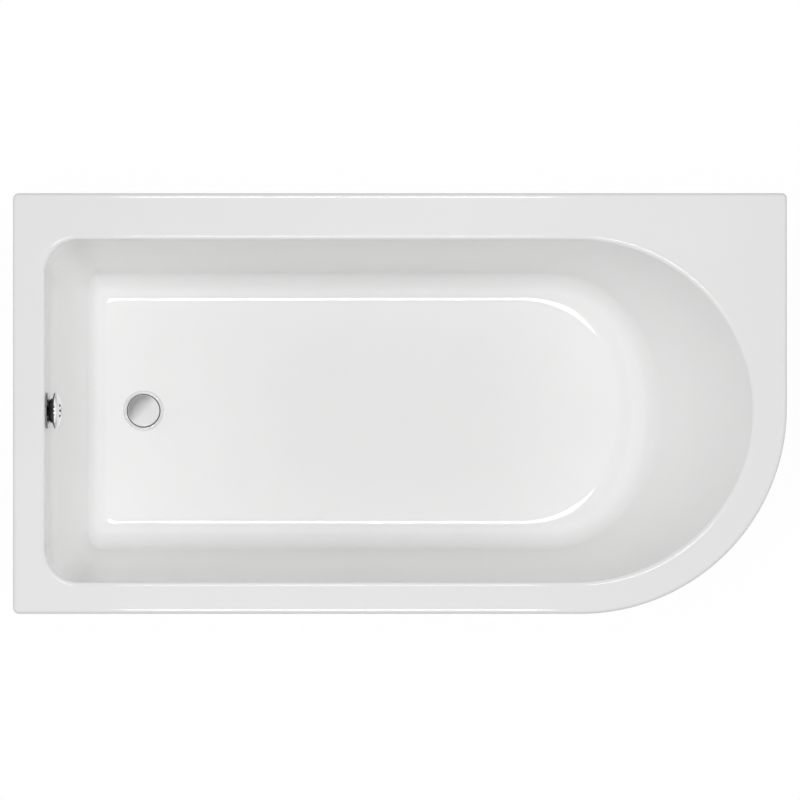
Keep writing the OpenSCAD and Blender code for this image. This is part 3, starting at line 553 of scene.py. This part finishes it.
def make_hose_nuts():
    """Two union nuts with scalloped grips."""
    def grips(angle, r, z):
        return np.where(r > 18.9, r - 0.9 * np.abs(np.cos(9 * angle)) ** 6, r)
    profile = [(17.2, -14), (19.5, -14), (19.5, 7), (15.05, 7), (15.05, 0), (17.2, 0)]
    lower = frame_of((HOSE_END, AXIS_Y, PORT_Z), (1, 0, 0), (0, 0, -1))
    for node, place in (("hose_nut_upper", upright(HOSE_X, AXIS_Y, HOSE_TOP)), ("hose_nut_lower", lower)):
        turned(node, profile, place, "root", "white_plastic", steps=180, radius=0.8, wobble=grips)


# ---------- waste ----------
def block(low, high, place):
    """A box between two corners in the piece's own frame, as (points, faces)."""
    (x0, y0, z0), (x1, y1, z1) = low, high
    return prism([(x0, y0), (x1, y0), (x1, y1), (x0, y1)], z0, z1, place)


def turned_by(place, degrees):
    """The frame turned about its own axis."""
    a = math.radians(degrees)
    turn = np.eye(4)
    turn[:2, :2] = [[math.cos(a), -math.sin(a)], [math.sin(a), math.cos(a)]]
    return place @ turn


def two_stubs(port, port_long, gland, gland_long):
    """The hose's stub and the cable's stub of a housing."""
    wide, thin = tube(12, 15, 0, port_long), tube(1.5, 5, 0, gland_long)
    return [lathe(wide, port, 64, 0.5), lathe(thin, gland, 32, 0.4)]


def make_waste():
    """Chrome flange and plug in the floor, seals, and the plastic body below with its threaded outlet."""
    flange = [(23, 134), (25, 134), (25, 152.5), (35, 152.5), (35, 154.75), (34.75, 155), (34.3, 155),
              (30.4, 155), (30, 153.2), (24, 153.2), (23, 151)]
    parts = [lathe(flange, AT_WASTE, 144, 0.2), lathe(tube(4.05, 7, 141, 147), AT_WASTE, 48, 0.4)]
    parts += [block((6, -1.5, 141), (23.5, 1.5, 145), turned_by(AT_WASTE, a)) for a in (0, 120, 240)]
    piece("waste_flange", parts, "root", "chrome")
    cap = [(0, 155.3), (30.5, 155.3), (31.1, 155.8), (31.1, 157.75), (30.7, 158.45), (30.45, 158.62),
           (24, 158.86), (18, 158.97), (10, 159.06), (0, 159.1)]
    crisp(turned("plug_cap", cap, AT_WASTE, "plug", "chrome", steps=144, radius=0.0), 20)
    # The seal's lip reaches past the cap as a black ring: partly the seal, partly painted shade for the gap
    # round the cap
    seal = [(24.8, 153.6), (29.2, 153.6), (29.6, 155.05), (32.7, 155.05), (32.7, 155.3), (24.8, 155.3)]
    turned("plug_seal", seal, AT_WASTE, "plug", "rubber", steps=144, radius=0.5)
    turned("plug_stem", tube(0, 4, 118, 155.3), AT_WASTE, "plug", "stem_steel", steps=48, radius=0.5)
    turned("waste_upper_seal", tube(26, 34, 151.5, 152.5), AT_WASTE, "root", "rubber", radius=0.3)
    turned("waste_lower_seal", tube(26, 38, 144, 147), AT_WASTE, "root", "rubber", radius=0.8)

    def grooves(angle, r, z):
        threaded = (r > OUTLET_R - 0.2) & (z > 67.5) & (z < 89)
        fluted = (r > 31.5) & (r < 33) & (z > 97) & (z < 136)
        screw = np.where(threaded, 1.1 * (1 - screw_wave(angle, z, 2.3)), 0)
        return r - np.where(fluted, 0.9 * np.clip(np.cos(20 * angle) * 3, 0, 1), screw)
    body = [(39, 144), (39, 140), (32.2, 139.6)]
    body += [(32, z) for z in np.linspace(138, 96, 10)] + [(31.5, 92), (24.4, 92)]
    body += [(OUTLET_R, z) for z in np.linspace(90, 66, 64)]
    body += [(19.5, 66), (19.5, 96), (28, 96), (28, 132), (25.05, 132), (25.05, 144)]
    port = frame_of((WASTE[0] - 29, AXIS_Y, PORT_Z), (-1, 0, 0), (0, 0, 1))
    gland = frame_of((WASTE[0] - 20, AXIS_Y + CABLE_SIDE, PORT_Z), (-1, 0, 0), (0, 0, 1))
    cheeks = [block((-28.5, y - 2, LEVER_PIVOT - 6), (-12.5, y + 2, LEVER_PIVOT + 6), AT_WASTE)
              for y in (-7, 7)]
    parts = [lathe(body, AT_WASTE, 120, 0.3, grooves), *two_stubs(port, 29, gland, 18), *cheeks]
    piece("waste_body", parts, "root", "white_plastic")


# ---------- overflow ----------
SLOT_PLACE, SLOT_HALF, SLOT_STRAIGHT, SLOT_APART = -15.5, 2.2, 2.8, 10


def make_overflow():
    """Flange in darkened chrome, black collar and dark back plate, all painted shade; disc with drain slots,
    seal, spindle, elbow.
    """
    flange = [(24, -14), (26, -14), (26, 0.3), (35, 0.3), (35, 1.4), (34, 2.8), (31, 3.4), (27, 3.4),
              (25, 2.4), (24, 0.4)]
    parts = [lathe(flange, AT_OVERFLOW, 144, 0.5), lathe(tube(4.05, 6, -5, 7), AT_OVERFLOW, 48, 0.5)]
    parts += [block((5, -1.5, -4), (24.4, 1.5, 0), turned_by(AT_OVERFLOW, a)) for a in (45, 135, 225, 315)]
    piece("overflow_flange", parts, "root", "chrome")
    turned("overflow_seal", tube(27, 37, -7, -5.1), AT_OVERFLOW, "root", "rubber", radius=0.5)
    face = [(35, 18.2), (34.4, 19.4), (32.6, 21.2), (29, 23.3), (24, 25.4), (18, 27.3), (12, 28.6), (6, 29.4),
            (0, 29.6)]
    disc = [(4, 9), (9, 9), (14, 10.25), (20, 11.75), (26, 13.25), (33, 15), (34.6, 15.5), (35, 16.2), *face,
            (0, 20), (4, 20)]
    cut_slots(turned("overflow_knob", disc, AT_OVERFLOW, "knob", "chrome", steps=192, radius=1.0), face)
    collar = [(14, 4.4), (16, 4.4), (20.5, 5.6), (23.5, 7.8), (24.5, 10.4), (24.6, 12.9), (14, 10.25)]
    # The collar's gloss black is painted shade for the dark gap behind the disc
    turned("knob_collar", collar, AT_OVERFLOW, "knob", "foot_plastic", steps=144, radius=0.4)
    # A dark chrome plate over the disc's back: painted shade for the shadow behind the disc
    back_shade_plate = [(24.2, 11.9), (24.6, 11.9), (34.3, 14.3), (35.12, 15.1), (35.14, 17.2), (34.7, 17.3),
                  (34.4, 15.7), (33, 15.2), (24.2, 13)]
    turned(None, back_shade_plate, AT_OVERFLOW, "knob", "chrome", "knob_back", steps=144, radius=0.3)
    softened("knob_spindle", "knob", "stem_steel", 0.4)
    chamber = [(26.02, -7), (38, -7), (38, -11), (30.6, -11.4), (30, -13), (30, -40), (0, -40), (0, -36),
               (26.02, -36)]
    pipe, gland = upright(HOSE_X, AXIS_Y, HOSE_TOP), upright(HOSE_X, AXIS_Y + CABLE_SIDE, CABLE_TOP)
    parts = [lathe(chamber, AT_OVERFLOW, 96, 1.2), *two_stubs(pipe, 31, gland, 17)]
    piece("overflow_elbow", parts, "root", "white_plastic")


def slot_outline(across, grow=0.0):
    """An oval along the face's upper radius: two half circles joined by straights."""
    t = np.radians(np.arange(0, 360, 12))
    half = SLOT_HALF + grow
    x = SLOT_PLACE + half * np.cos(t) + np.where(np.cos(t) > 0, SLOT_STRAIGHT, -SLOT_STRAIGHT)
    return np.column_stack([x, across + half * np.sin(t)])


def prism(outline, low, high, place):
    """A closed prism on an outline between two heights, which may differ from point to point."""
    n = len(outline)
    ends = [np.column_stack([outline, np.broadcast_to(z, n)]) for z in (low, high)]
    faces = [list(range(n))[::-1], list(range(n, 2 * n))]
    faces += [[k, (k + 1) % n, n + (k + 1) % n, n + k] for k in range(n)]
    return placed(np.concatenate(ends), place), faces


def cut_slots(knob, face):
    """Three slots above the middle of the disc's face, each with a black pad half a millimetre down as painted
    shade.
    """
    shade_pads_in_slots = []
    radius, height = np.array(face[::-1]).T
    for across in (-SLOT_APART, 0, SLOT_APART):
        cutter = tidy_normals(add_mesh("slot_cutter", *prism(slot_outline(across), 24.0, 34.0, AT_OVERFLOW)))
        cut = knob.modifiers.new("slot", "BOOLEAN")
        cut.object = cutter
        cut.solver = "EXACT"
        oval = slot_outline(across, -0.02)
        top = np.interp(np.hypot(*oval.T), radius, height) - 0.5
        # A black pad inside each slot is painted shade for the dark opening
        shade_pads_in_slots.append(prism(oval, 23.8, top, AT_OVERFLOW))
    bpy.context.view_layer.update()
    cut_mesh = bpy.data.meshes.new_from_object(knob.evaluated_get(bpy.context.evaluated_depsgraph_get()))
    for cut in knob.modifiers:
        bpy.data.objects.remove(cut.object)
    knob.modifiers.clear()
    knob.data = cut_mesh
    piece(None, shade_pads_in_slots, "knob", "rubber", "slot_inserts", smooth=False)


# ---------- legs ----------
LEG_REACH = 275.0
BOARD_LOW = BOARD_TOP - 18
RAILS = (-365.0, 235.0)
# Each leg's place, the height of its web's top and the web's thickness
LEGS = [(x, AXIS_Y + reach, BOARD_LOW, 2) for x in RAILS for reach in (-LEG_REACH, LEG_REACH)]
LEGS.append((-65.0, AXIS_Y, BOARD_LOW - 27, 3))
ROD_R, ROD_TOP, NUT_R, NUT_HIGH = 5.0, 170.0, 9.8, 8.0
NUT_BORE, NUT_MOUTH = 5.05, 5.7
ON_EDGE = frame_of((0, 0, 0), (0, -1, 0), (1, 0, 0))


def make_rod(number, x, y, top):
    """Threaded leg: its radius less a rounded saw groove, chamfered at the top and closed at both ends."""
    low, pitch, sides = 6.0, 1.5, 20
    z = np.linspace(low, top, int((top - low) / pitch * 6) + 1)[:, None]
    t = circle(sides)[None]
    r = np.minimum(ROD_R - 0.62 * (1 - screw_wave(t, z, pitch)) ** 0.8, ROD_R - 1.2 + (top - z))
    rings = np.stack([r * np.cos(t), r * np.sin(t), np.broadcast_to(z, r.shape)], -1)
    shaft = closed_shaft(rings + [x, y, 0], [[x, y, low], [x, y, top]])
    piece("leg_rod_%d" % number, [shaft], "foot_%d" % number, "zinc_steel", "threaded_leg_%d" % number)


def hex_nut(x, y, z):
    """Hexagon nut with its corners chamfered at 30 degrees on both faces and a chamfered bore."""
    t = circle(96)
    flat = NUT_R * math.cos(math.pi / 6)
    corner = flat / np.cos((t + math.pi / 6) % (math.pi / 3) - math.pi / 6)
    face = flat * 0.97
    drop = np.maximum(0, corner - face) * math.tan(math.radians(30))
    rows = [(NUT_BORE, 0.6), (NUT_MOUTH, 0), (face, 0), (corner, drop), (corner, NUT_HIGH - drop),
            (face, NUT_HIGH), (NUT_MOUTH, NUT_HIGH), (NUT_BORE, NUT_HIGH - 0.6)]
    points = np.concatenate([np.column_stack([r * np.cos(t), r * np.sin(t), h + 0 * t]) for r, h in rows])
    return points + [x, y, z], closed_faces(len(rows), len(t))


def make_foot(number, x, y):
    """Moulded foot: a round base with a rolled edge, a socket for the leg and eight webs between them."""
    place = upright(x, y, 0)
    base = [(0, 0), (24.2, 0), (25, 0.8), (25, 3.6), (24, 4.8), (20, 5), (11.5, 5.2), (10.6, 6.5), (9.2, 21),
            (8.6, 22), (5, 22), (5, 6), (0, 6)]
    web = [(9, 4.5), (22.5, 4.5), (22.5, 5.6), (9.3, 18)]
    parts = [lathe(base, place, 72, 0.8)]
    parts += [prism(web, -0.9, 0.9, turned_by(place, 45 * k) @ ON_EDGE) for k in range(8)]
    foot = "foot_%d" % number
    crisp(piece("foot_pad_%d" % number, parts, foot, "foot_plastic", foot + "_piece"), 40)


def make_legs():
    """Five threaded legs with their feet, and a nut on both sides of each leg's web."""
    for number, (x, y, *_) in enumerate(LEGS, 1):
        make_rod(number, x, y, ROD_TOP if number < len(LEGS) else BOARD_LOW - 1.5)
        make_foot(number, x, y)
    for node, below in (("leg_nuts_upper", 0), ("leg_nuts_lower", 1)):
        nuts = [hex_nut(x, y, z - below * (web + NUT_HIGH)) for x, y, z, web in LEGS]
        crisp(piece(node, nuts, "root", "zinc_steel"), 25)


# ---------- sawn, folded and small pieces ----------
def make_carcass():
    """Board, battens, rails, brackets, screws and lever: the solids with their edges rounded."""
    for body, slot, bevel, nodes in (
            ("root", "chipboard", 0.8, "baseboard"),
            ("root", "timber", 1.2, "batten_back batten_front batten_left batten_right"),
            ("root", "galvanised_steel", 0.5,
             "leg_rail_waste_end leg_rail_head_end centre_leg_plate wall_bracket_1 wall_bracket_2"),
            ("root", "zinc_steel", 0.3, "rail_screws centre_plate_screws bracket_screws"),
            ("root", "white_plastic", 0.5, "cable_gland_upper cable_gland_lower"),
            ("lever", "stem_steel", 0.4, "lift_lever"),
            ("root", "stem_steel", 0.3, "lever_pin")):
        for node in nodes.split():
            softened(node, body, slot, bevel)


# ---------- finishes ----------
def linked(tree, value, socket):
    """Links an output to a socket, or sets the socket to a plain value."""
    if hasattr(value, "is_linked"):
        tree.links.new(value, socket)
    else:
        socket.default_value = value


def add_node(tree, kind, links=(), **values):
    """A node with sockets linked or set by name."""
    made = tree.nodes.new("ShaderNode" + kind)
    for key, value in values.items():
        setattr(made, key, value)
    for key, value in dict(links).items():
        linked(tree, value, made.inputs[key])
    return made


class Finish:
    """A node material on one Principled shader, with patterns in object coordinates."""

    def __init__(self, name, color, roughness, metallic=0.0, ior=1.5):
        self.material = bpy.data.materials.new(name)
        self.material.use_nodes = True
        self.tree = self.material.node_tree
        self.shader = self.tree.nodes["Principled BSDF"]
        self.set("Base Color", (*color, 1))
        self.set("Roughness", roughness)
        self.set("Metallic", metallic)
        self.set("IOR", ior)
        self.place = self.node("TexCoord").outputs["Object"]

    def node(self, kind, links=(), **values):
        """A node of this material."""
        return add_node(self.tree, kind, links, **values)

    def stretched(self, scale, turn=(0, 0, 0)):
        """Object coordinates stretched and turned."""
        links = {"Vector": self.place, "Scale": scale, "Rotation": turn}
        return self.node("Mapping", links).outputs["Vector"]

    def noise(self, scale, detail=4.0, rough=0.5, place=None, distortion=0.0):
        """Fractal noise from 0 to 1."""
        links = {"Vector": place or self.place, "Scale": scale, "Detail": detail, "Roughness": rough,
                 "Distortion": distortion}
        return self.node("TexNoise", links).outputs[0]

    def cells(self, scale, place=None):
        """Cells of chance colours."""
        return self.node("TexVoronoi", {"Vector": place or self.place, "Scale": scale}).outputs["Color"]

    def ramp(self, value, *stops):
        """Colours or greys at positions, blended between."""
        made = self.node("ValToRGB", {"Fac": value})
        elements = made.color_ramp.elements
        while len(elements) < len(stops):
            elements.new(0.5)
        for element, (position, color) in zip(elements, stops):
            element.position = position
            element.color = (*color, 1) if isinstance(color, tuple) else (color, color, color, 1)
        return made.outputs["Color"]

    def mixed(self, share, a, b):
        """Blend of two colours."""
        a, b = [(*color, 1) if isinstance(color, tuple) else color for color in (a, b)]
        return self.node("Mix", {0: share, 6: a, 7: b}, data_type="RGBA").outputs[2]

    def math(self, operation, a, b):
        """A sum on two values."""
        return self.node("Math", {0: a, 1: b}, operation=operation).outputs[0]

    def set(self, socket, value):
        """Gives the shader a pattern or a plain value."""
        linked(self.tree, value, self.shader.inputs[socket])

    def tint(self, pattern, *stops):
        """Drives the colour by a pattern."""
        self.set("Base Color", self.ramp(pattern, *stops))

    def sheen(self, pattern, *stops):
        """Drives the roughness by a pattern."""
        self.set("Roughness", self.ramp(pattern, *stops))

    def bump(self, height, distance, strength):
        """Relief of the given height in metres."""
        made = self.node("Bump", {"Height": height, "Distance": distance, "Strength": strength})
        self.set("Normal", made.outputs["Normal"])

    def glow(self, strength):
        """A shader that gives off white light."""
        return self.node("Emission", {"Color": (1, 1, 1, 1), "Strength": strength}).outputs[0]

    def surface(self, shader):
        """Makes another shader the material's surface."""
        linked(self.tree, shader, self.tree.nodes["Material Output"].inputs["Surface"])


def gloss_acrylic():
    """White sanitary acrylic: near-flat gloss with the faintest ripple, and a trace of tone drift."""
    f = Finish("gloss acrylic", (0.87, 0.87, 0.867), 0.05, ior=1.49)
    f.tint(f.noise(6.0, 3.0), (0.3, (0.865, 0.866, 0.863)), (0.7, (0.876, 0.876, 0.873)))
    f.sheen(f.noise(60.0, 4.0), (0.3, 0.04), (0.75, 0.07))
    f.bump(f.noise(140.0, 2.0), 0.00003, 0.15)
    return f


def sprayed_fibre():
    """Chopped strands in cream resin: four layers of crossed, broken streaks and a rough relief."""
    f = Finish("sprayed glass fibre", (0.74, 0.71, 0.6), 0.42, ior=1.52)
    layers = [f.noise(1.0, 2.0, 0.6, f.stretched((900, 60, 420), (0.3 * k, 0.7 * k, 1.05 * k + 0.2)), 1.2)
              for k in range(4)]
    streak = layers[0]
    for layer in layers[1:]:
        streak = f.math("MAXIMUM", streak, layer)
    patch = f.noise(9.0, 5.0)
    base = f.ramp(patch, (0.3, (0.66, 0.62, 0.49)), (0.55, (0.74, 0.71, 0.6)), (0.8, (0.8, 0.78, 0.7)))
    f.set("Base Color", f.mixed(f.ramp(streak, (0.56, 0.0), (0.72, 1.0)), base, (0.86, 0.85, 0.79)))
    f.sheen(streak, (0.5, 0.34), (0.75, 0.55))
    f.bump(f.math("ADD", streak, f.noise(70.0, 5.0)), 0.0012, 0.8)
    return f


def raw_chipboard():
    """Pressed flakes of several tans with darker specks of bark."""
    f = Finish("raw chipboard", (0.6, 0.45, 0.28), 0.72)
    flake = f.cells(260.0, f.stretched((1, 1.7, 1), (0.2, 0.1, 0.5)))
    fine = f.cells(620.0, f.stretched((1.6, 1, 1), (0.1, 0.3, 1.4)))
    base = f.ramp(flake, (0.15, (0.42, 0.28, 0.15)), (0.45, (0.6, 0.45, 0.28)), (0.8, (0.76, 0.62, 0.43)))
    over = f.ramp(fine, (0.1, (0.34, 0.22, 0.12)), (0.4, (0.62, 0.48, 0.31)), (0.9, (0.72, 0.6, 0.43)))
    f.set("Base Color", f.mixed(0.45, base, over))
    f.sheen(f.noise(500.0), (0.3, 0.6), (0.7, 0.85))
    f.bump(f.mixed(0.5, flake, fine), 0.0003, 0.6)
    return f


def sawn_timber(across):
    """Softwood with growth lines along the batten: stretched noise drives light and dark bands."""
    f = Finish("sawn softwood along " + across, (0.62, 0.43, 0.24), 0.62)
    stretch, fine = (6, 130, 130), (14, 700, 700)
    if across == "y":
        stretch, fine = (130, 6, 130), (700, 14, 700)
    bands = f.noise(1.0, 4.0, 0.6, f.stretched(stretch), 0.8)
    fibre = f.noise(1.0, 3.0, 0.6, f.stretched(fine))
    base = f.ramp(bands, (0.35, (0.7, 0.52, 0.31)), (0.52, (0.62, 0.42, 0.22)), (0.6, (0.46, 0.27, 0.12)),
                  (0.66, (0.68, 0.5, 0.3)))
    f.set("Base Color", f.mixed(f.ramp(fibre, (0.3, 0.0), (0.8, 0.35)), base, (0.42, 0.26, 0.12)))
    f.sheen(fibre, (0.3, 0.5), (0.7, 0.75))
    f.bump(fibre, 0.0003, 0.7)
    return f


def zinc_sheet():
    """Galvanised sheet: crystal patches of slightly different grey and gloss."""
    f = Finish("galvanised sheet", (0.6, 0.61, 0.63), 0.38, 1.0)
    patch = f.cells(110.0)
    f.tint(patch, (0.1, (0.47, 0.485, 0.505)), (0.9, (0.66, 0.67, 0.69)))
    f.sheen(patch, (0.1, 0.3), (0.9, 0.46))
    f.bump(f.noise(400.0), 0.00005, 0.5)
    return f


def plated_fastener():
    """Bright zinc plate with a faint blue and straw bloom."""
    f = Finish("zinc plate", (0.7, 0.71, 0.73), 0.26, 1.0)
    bloom = f.noise(90.0, 3.0)
    f.tint(bloom, (0.35, (0.62, 0.65, 0.7)), (0.55, (0.72, 0.72, 0.71)), (0.75, (0.74, 0.7, 0.6)))
    f.sheen(f.noise(700.0), (0.3, 0.2), (0.7, 0.34))
    return f


def polished_chrome(name="polished chrome", tone=0.92, gloss=0.06):
    """Polished chrome of a given tone, with faint wiping marks in its gloss."""
    f = Finish(name, (tone, tone * 1.005, tone * 1.01), gloss, 1.0)
    wipe = f.noise(1.0, 5.0, 0.6, f.stretched((300, 60, 300), (0.4, 0.1, 0.8)), 0.6)
    f.sheen(wipe, (0.35, gloss * 0.6), (0.75, gloss * 1.4))
    low, high = tone * 0.98, tone * 1.01
    f.tint(f.noise(25.0), (0.3, (low, low, low * 1.01)), (0.7, (high, high, high * 1.01)))
    return f


def drawn_steel():
    """Drawn stainless rod: fine lines along its length."""
    f = Finish("drawn steel", (0.6, 0.6, 0.6), 0.3, 1.0)
    lines_of = f.noise(1.0, 3.0, 0.6, f.stretched((2600, 2600, 90)))
    f.sheen(lines_of, (0.3, 0.2), (0.7, 0.4))
    f.tint(lines_of, (0.3, (0.54, 0.54, 0.55)), (0.7, (0.66, 0.66, 0.66)))
    return f


def moulded_plastic(name, low, high, roughness, grain=350.0, depth=0.00008):
    """Moulded plastic: a fine sparked grain, small drift in tone and gloss."""
    f = Finish(name, high, roughness, ior=1.46)
    f.tint(f.noise(18.0), (0.3, low), (0.7, high))
    f.sheen(f.noise(grain / 3), (0.3, roughness - 0.07), (0.7, roughness + 0.07))
    f.bump(f.noise(grain * 4, 3.0), depth, 0.6)
    return f


FINISHES = {
    "acrylic": gloss_acrylic(),
    "glass_fibre": sprayed_fibre(),
    "chipboard": raw_chipboard(),
    "timber": sawn_timber("x"),
    "galvanised_steel": zinc_sheet(),
    "zinc_steel": plated_fastener(),
    "foot_plastic": moulded_plastic("black nylon", (0.02, 0.02, 0.022), (0.035, 0.035, 0.038), 0.45),
    "chrome": polished_chrome(),
    "stem_steel": drawn_steel(),
    "rubber": moulded_plastic("black rubber", (0.02, 0.02, 0.02), (0.045, 0.045, 0.045), 0.7, 500.0, 0.0001),
    "white_plastic": moulded_plastic("white polypropylene", (0.7, 0.7, 0.69), (0.77, 0.77, 0.76), 0.36),
    "hose_plastic": moulded_plastic("grey hose plastic", (0.5, 0.51, 0.52), (0.6, 0.61, 0.62), 0.4),
    "cable_plastic": moulded_plastic("black cable sleeve", (0.02, 0.02, 0.02), (0.04, 0.04, 0.04), 0.4),
}
TIMBER_ACROSS = sawn_timber("y")
# Pieces whose finish is a variant of their slot's
SPECIAL = {"batten_left": TIMBER_ACROSS, "batten_right": TIMBER_ACROSS,
           # The collar's gloss black is painted shade for the dark gap behind the disc
           "knob_collar": moulded_plastic("collar black as painted shade", (0.012, 0.012, 0.013), (0.018, 0.018, 0.02),
                                          0.14, 200.0, 0.00001),
           # The flange's chrome is darkened to 0.3 as painted shade and painted dark reflection
           "overflow_flange": polished_chrome("flange chrome darkened as painted shade", 0.3, 0.14),
           # The disc's back plate is darkened to 0.15 as painted shade
           "knob_back": polished_chrome("disc back darkened as painted shade", 0.15, 0.16),
           "overflow_knob": polished_chrome("plated knob", 0.89, 0.07)}


def paint():
    """Gives every piece and every solid the finish of its slot."""
    slot_of = {part["node"]: part["material_slot"] for part in frame["record"]["subparts"]}
    for thing in bpy.data.objects:
        slot = thing.get("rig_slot") or slot_of.get(thing.get("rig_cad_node"))
        if thing.type == "MESH" and slot:
            finish = SPECIAL.get(thing.name.replace("_piece", "")) or FINISHES[slot]
            thing.data.materials.clear()
            thing.data.materials.append(finish.material)


# ---------- studio ----------
WORLD_LIGHT = 0.218
FLOOR_GLOW, FLOOR_WHITE = 0.95, 1.02
LAMP_HEIGHT, LAMP_SIDE, LAMP_WIDE, LAMP_LONG, LAMP_POWER = 4.5, 0.84, 0.6, 1.33, 28.0
# The side lamps' two lengths, as (name, middle, length): gloss sees only the first
LAMP_PARTS = (("panel", -0.133, 0.885), ("panel_end", 0.532, 0.445))
END_AWAY, END_HEIGHT, END_SIZE, END_POWER, END_UNEVEN = 5.0, 2.3, (2.0, 0.35), 30.0, 1.5
TOP_PLACE, TOP_SIZE, TOP_POWER = (-0.55, 0, 6.0), (2.4, 1.6), 93.5
CARD_HEIGHT, CARD_DARK, CARD_MID, CARD_PALE = 5.0, 0.34, 0.5, 0.82
CAMERA_AWAY, FRAME_WIDE, SENSOR, AIM = 60.0, 1.55, 36.0, (0.00013, 0.0068)


def lamp(name, place, aim, size, power):
    """A soft rectangular lamp aimed at a point."""
    light = bpy.data.lights.new(name, "AREA")
    light.shape = "RECTANGLE"
    light.size, light.size_y = size
    light.energy = power
    thing = add_object(name, light)
    thing.location = place
    thing.rotation_euler = (Vector(aim) - Vector(place)).to_track_quat("-Z", "Y").to_euler()
    return thing


def sheet(name, half, height, finish):
    """A square sheet of the studio, in metres."""
    corners = [(-half, -half), (half, -half), (half, half), (-half, half)]
    thing = add_mesh(name, [(x / MM, y / MM, height / MM) for x, y in corners], [(0, 1, 2, 3)])
    thing.data.materials.append(finish.material)
    return thing


def seen_plainly(tree):
    """1 for rays from the camera, from gloss and through clear pieces, and 0 for the light on surfaces."""
    ray = add_node(tree, "LightPath")
    seen = ray.outputs["Is Camera Ray"]
    for kind in ("Is Glossy Ray", "Is Transmission Ray"):
        seen = add_node(tree, "Math", {0: seen, 1: ray.outputs[kind]}, operation="MAXIMUM").outputs[0]
    return seen


def make_floor():
    """A pale floor that takes shadows, and that glows almost white where it is seen plainly."""
    f = Finish("studio floor", (0.9, 0.9, 0.9), 0.9)
    f.tint(f.noise(0.4), (0.3, 0.895), (0.7, 0.905))
    share = f.math("MULTIPLY", seen_plainly(f.tree), FLOOR_GLOW)
    lit = f.node("MixShader", {0: share, 1: f.shader.outputs[0], 2: f.glow(FLOOR_WHITE)})
    f.surface(lit.outputs[0])
    floor = sheet("studio_floor", 60.0, 0.0, f)


def make_world():
    """Plain soft white light from all round, and full white where it is seen plainly."""
    world = bpy.data.worlds.new("studio")
    bpy.context.scene.world = world
    world.use_nodes = True
    tree = world.node_tree
    back = tree.nodes["Background"]
    strength = add_node(tree, "MapRange", {"Value": seen_plainly(tree), "To Min": WORLD_LIGHT, "To Max": 1.0})
    linked(tree, strength.outputs["Result"], back.inputs["Strength"])
    back.inputs["Color"].default_value = (1, 1, 1, 1)


def make_card():
    """A studio card overhead that only gloss sees: its glow rises from dark to pale along a diagonal."""
    f = Finish("studio card", (0.5, 0.5, 0.5), 1.0)
    from_plug = f.node("Mapping", {"Vector": f.place, "Location": (0.5, 0.014, 0)}).outputs["Vector"]
    parts = f.node("SeparateXYZ", {"Vector": from_plug})
    along = f.math("SUBTRACT", parts.outputs["X"], parts.outputs["Y"])
    way = f.node("MapRange", {"Value": along, "From Min": -0.35, "From Max": 1.15}).outputs["Result"]
    tones = ((0.0, CARD_DARK), (0.1, CARD_DARK + 0.16), (0.24, CARD_PALE), (0.5, CARD_PALE), (1.0, CARD_MID))
    f.surface(f.glow(f.ramp(way, *tones)))
    card = sheet("studio_card", 3.0, CARD_HEIGHT, f)
    card.visible_camera = card.visible_diffuse = card.visible_transmission = card.visible_shadow = False


def make_camera():
    """A far camera straight above, whose frame has its stated width at the rim."""
    camera = bpy.data.cameras.new("camera")
    camera.sensor_width = SENSOR
    camera.lens = SENSOR * CAMERA_AWAY / FRAME_WIDE
    camera.clip_end = 1000
    thing = add_object("camera", camera)
    thing.location = (*AIM, RIM * MM + CAMERA_AWAY)
    bpy.context.scene.camera = thing


def make_lamps():
    """Long lamps over both sides, low ones beyond both ends, and a broad one overhead."""
    for sign in (-1, 1):
        for name, x, long in LAMP_PARTS:
            place = (x, sign * LAMP_SIDE, LAMP_HEIGHT)
            side = lamp("%s_%d" % (name, sign), place, (*place[:2], 0), (long, LAMP_WIDE),
                        LAMP_POWER * long / LAMP_LONG)
            side.visible_glossy = name == "panel"
        far = lamp("end_panel_%d" % sign, (sign * END_AWAY, 0, END_HEIGHT), (0, 0, 0.5), END_SIZE,
                   END_POWER + END_UNEVEN * sign)
        far.visible_glossy = False
    lamp("top_panel", TOP_PLACE, (0, 0, 0), TOP_SIZE, TOP_POWER).visible_glossy = False


make_tub()
make_hose()
make_cable()
make_hose_nuts()
make_waste()
make_overflow()
make_legs()
make_carcass()
paint()
make_floor()
make_world()
make_card()
make_lamps()
make_camera()
bpy.context.scene.view_settings.view_transform = "Standard"
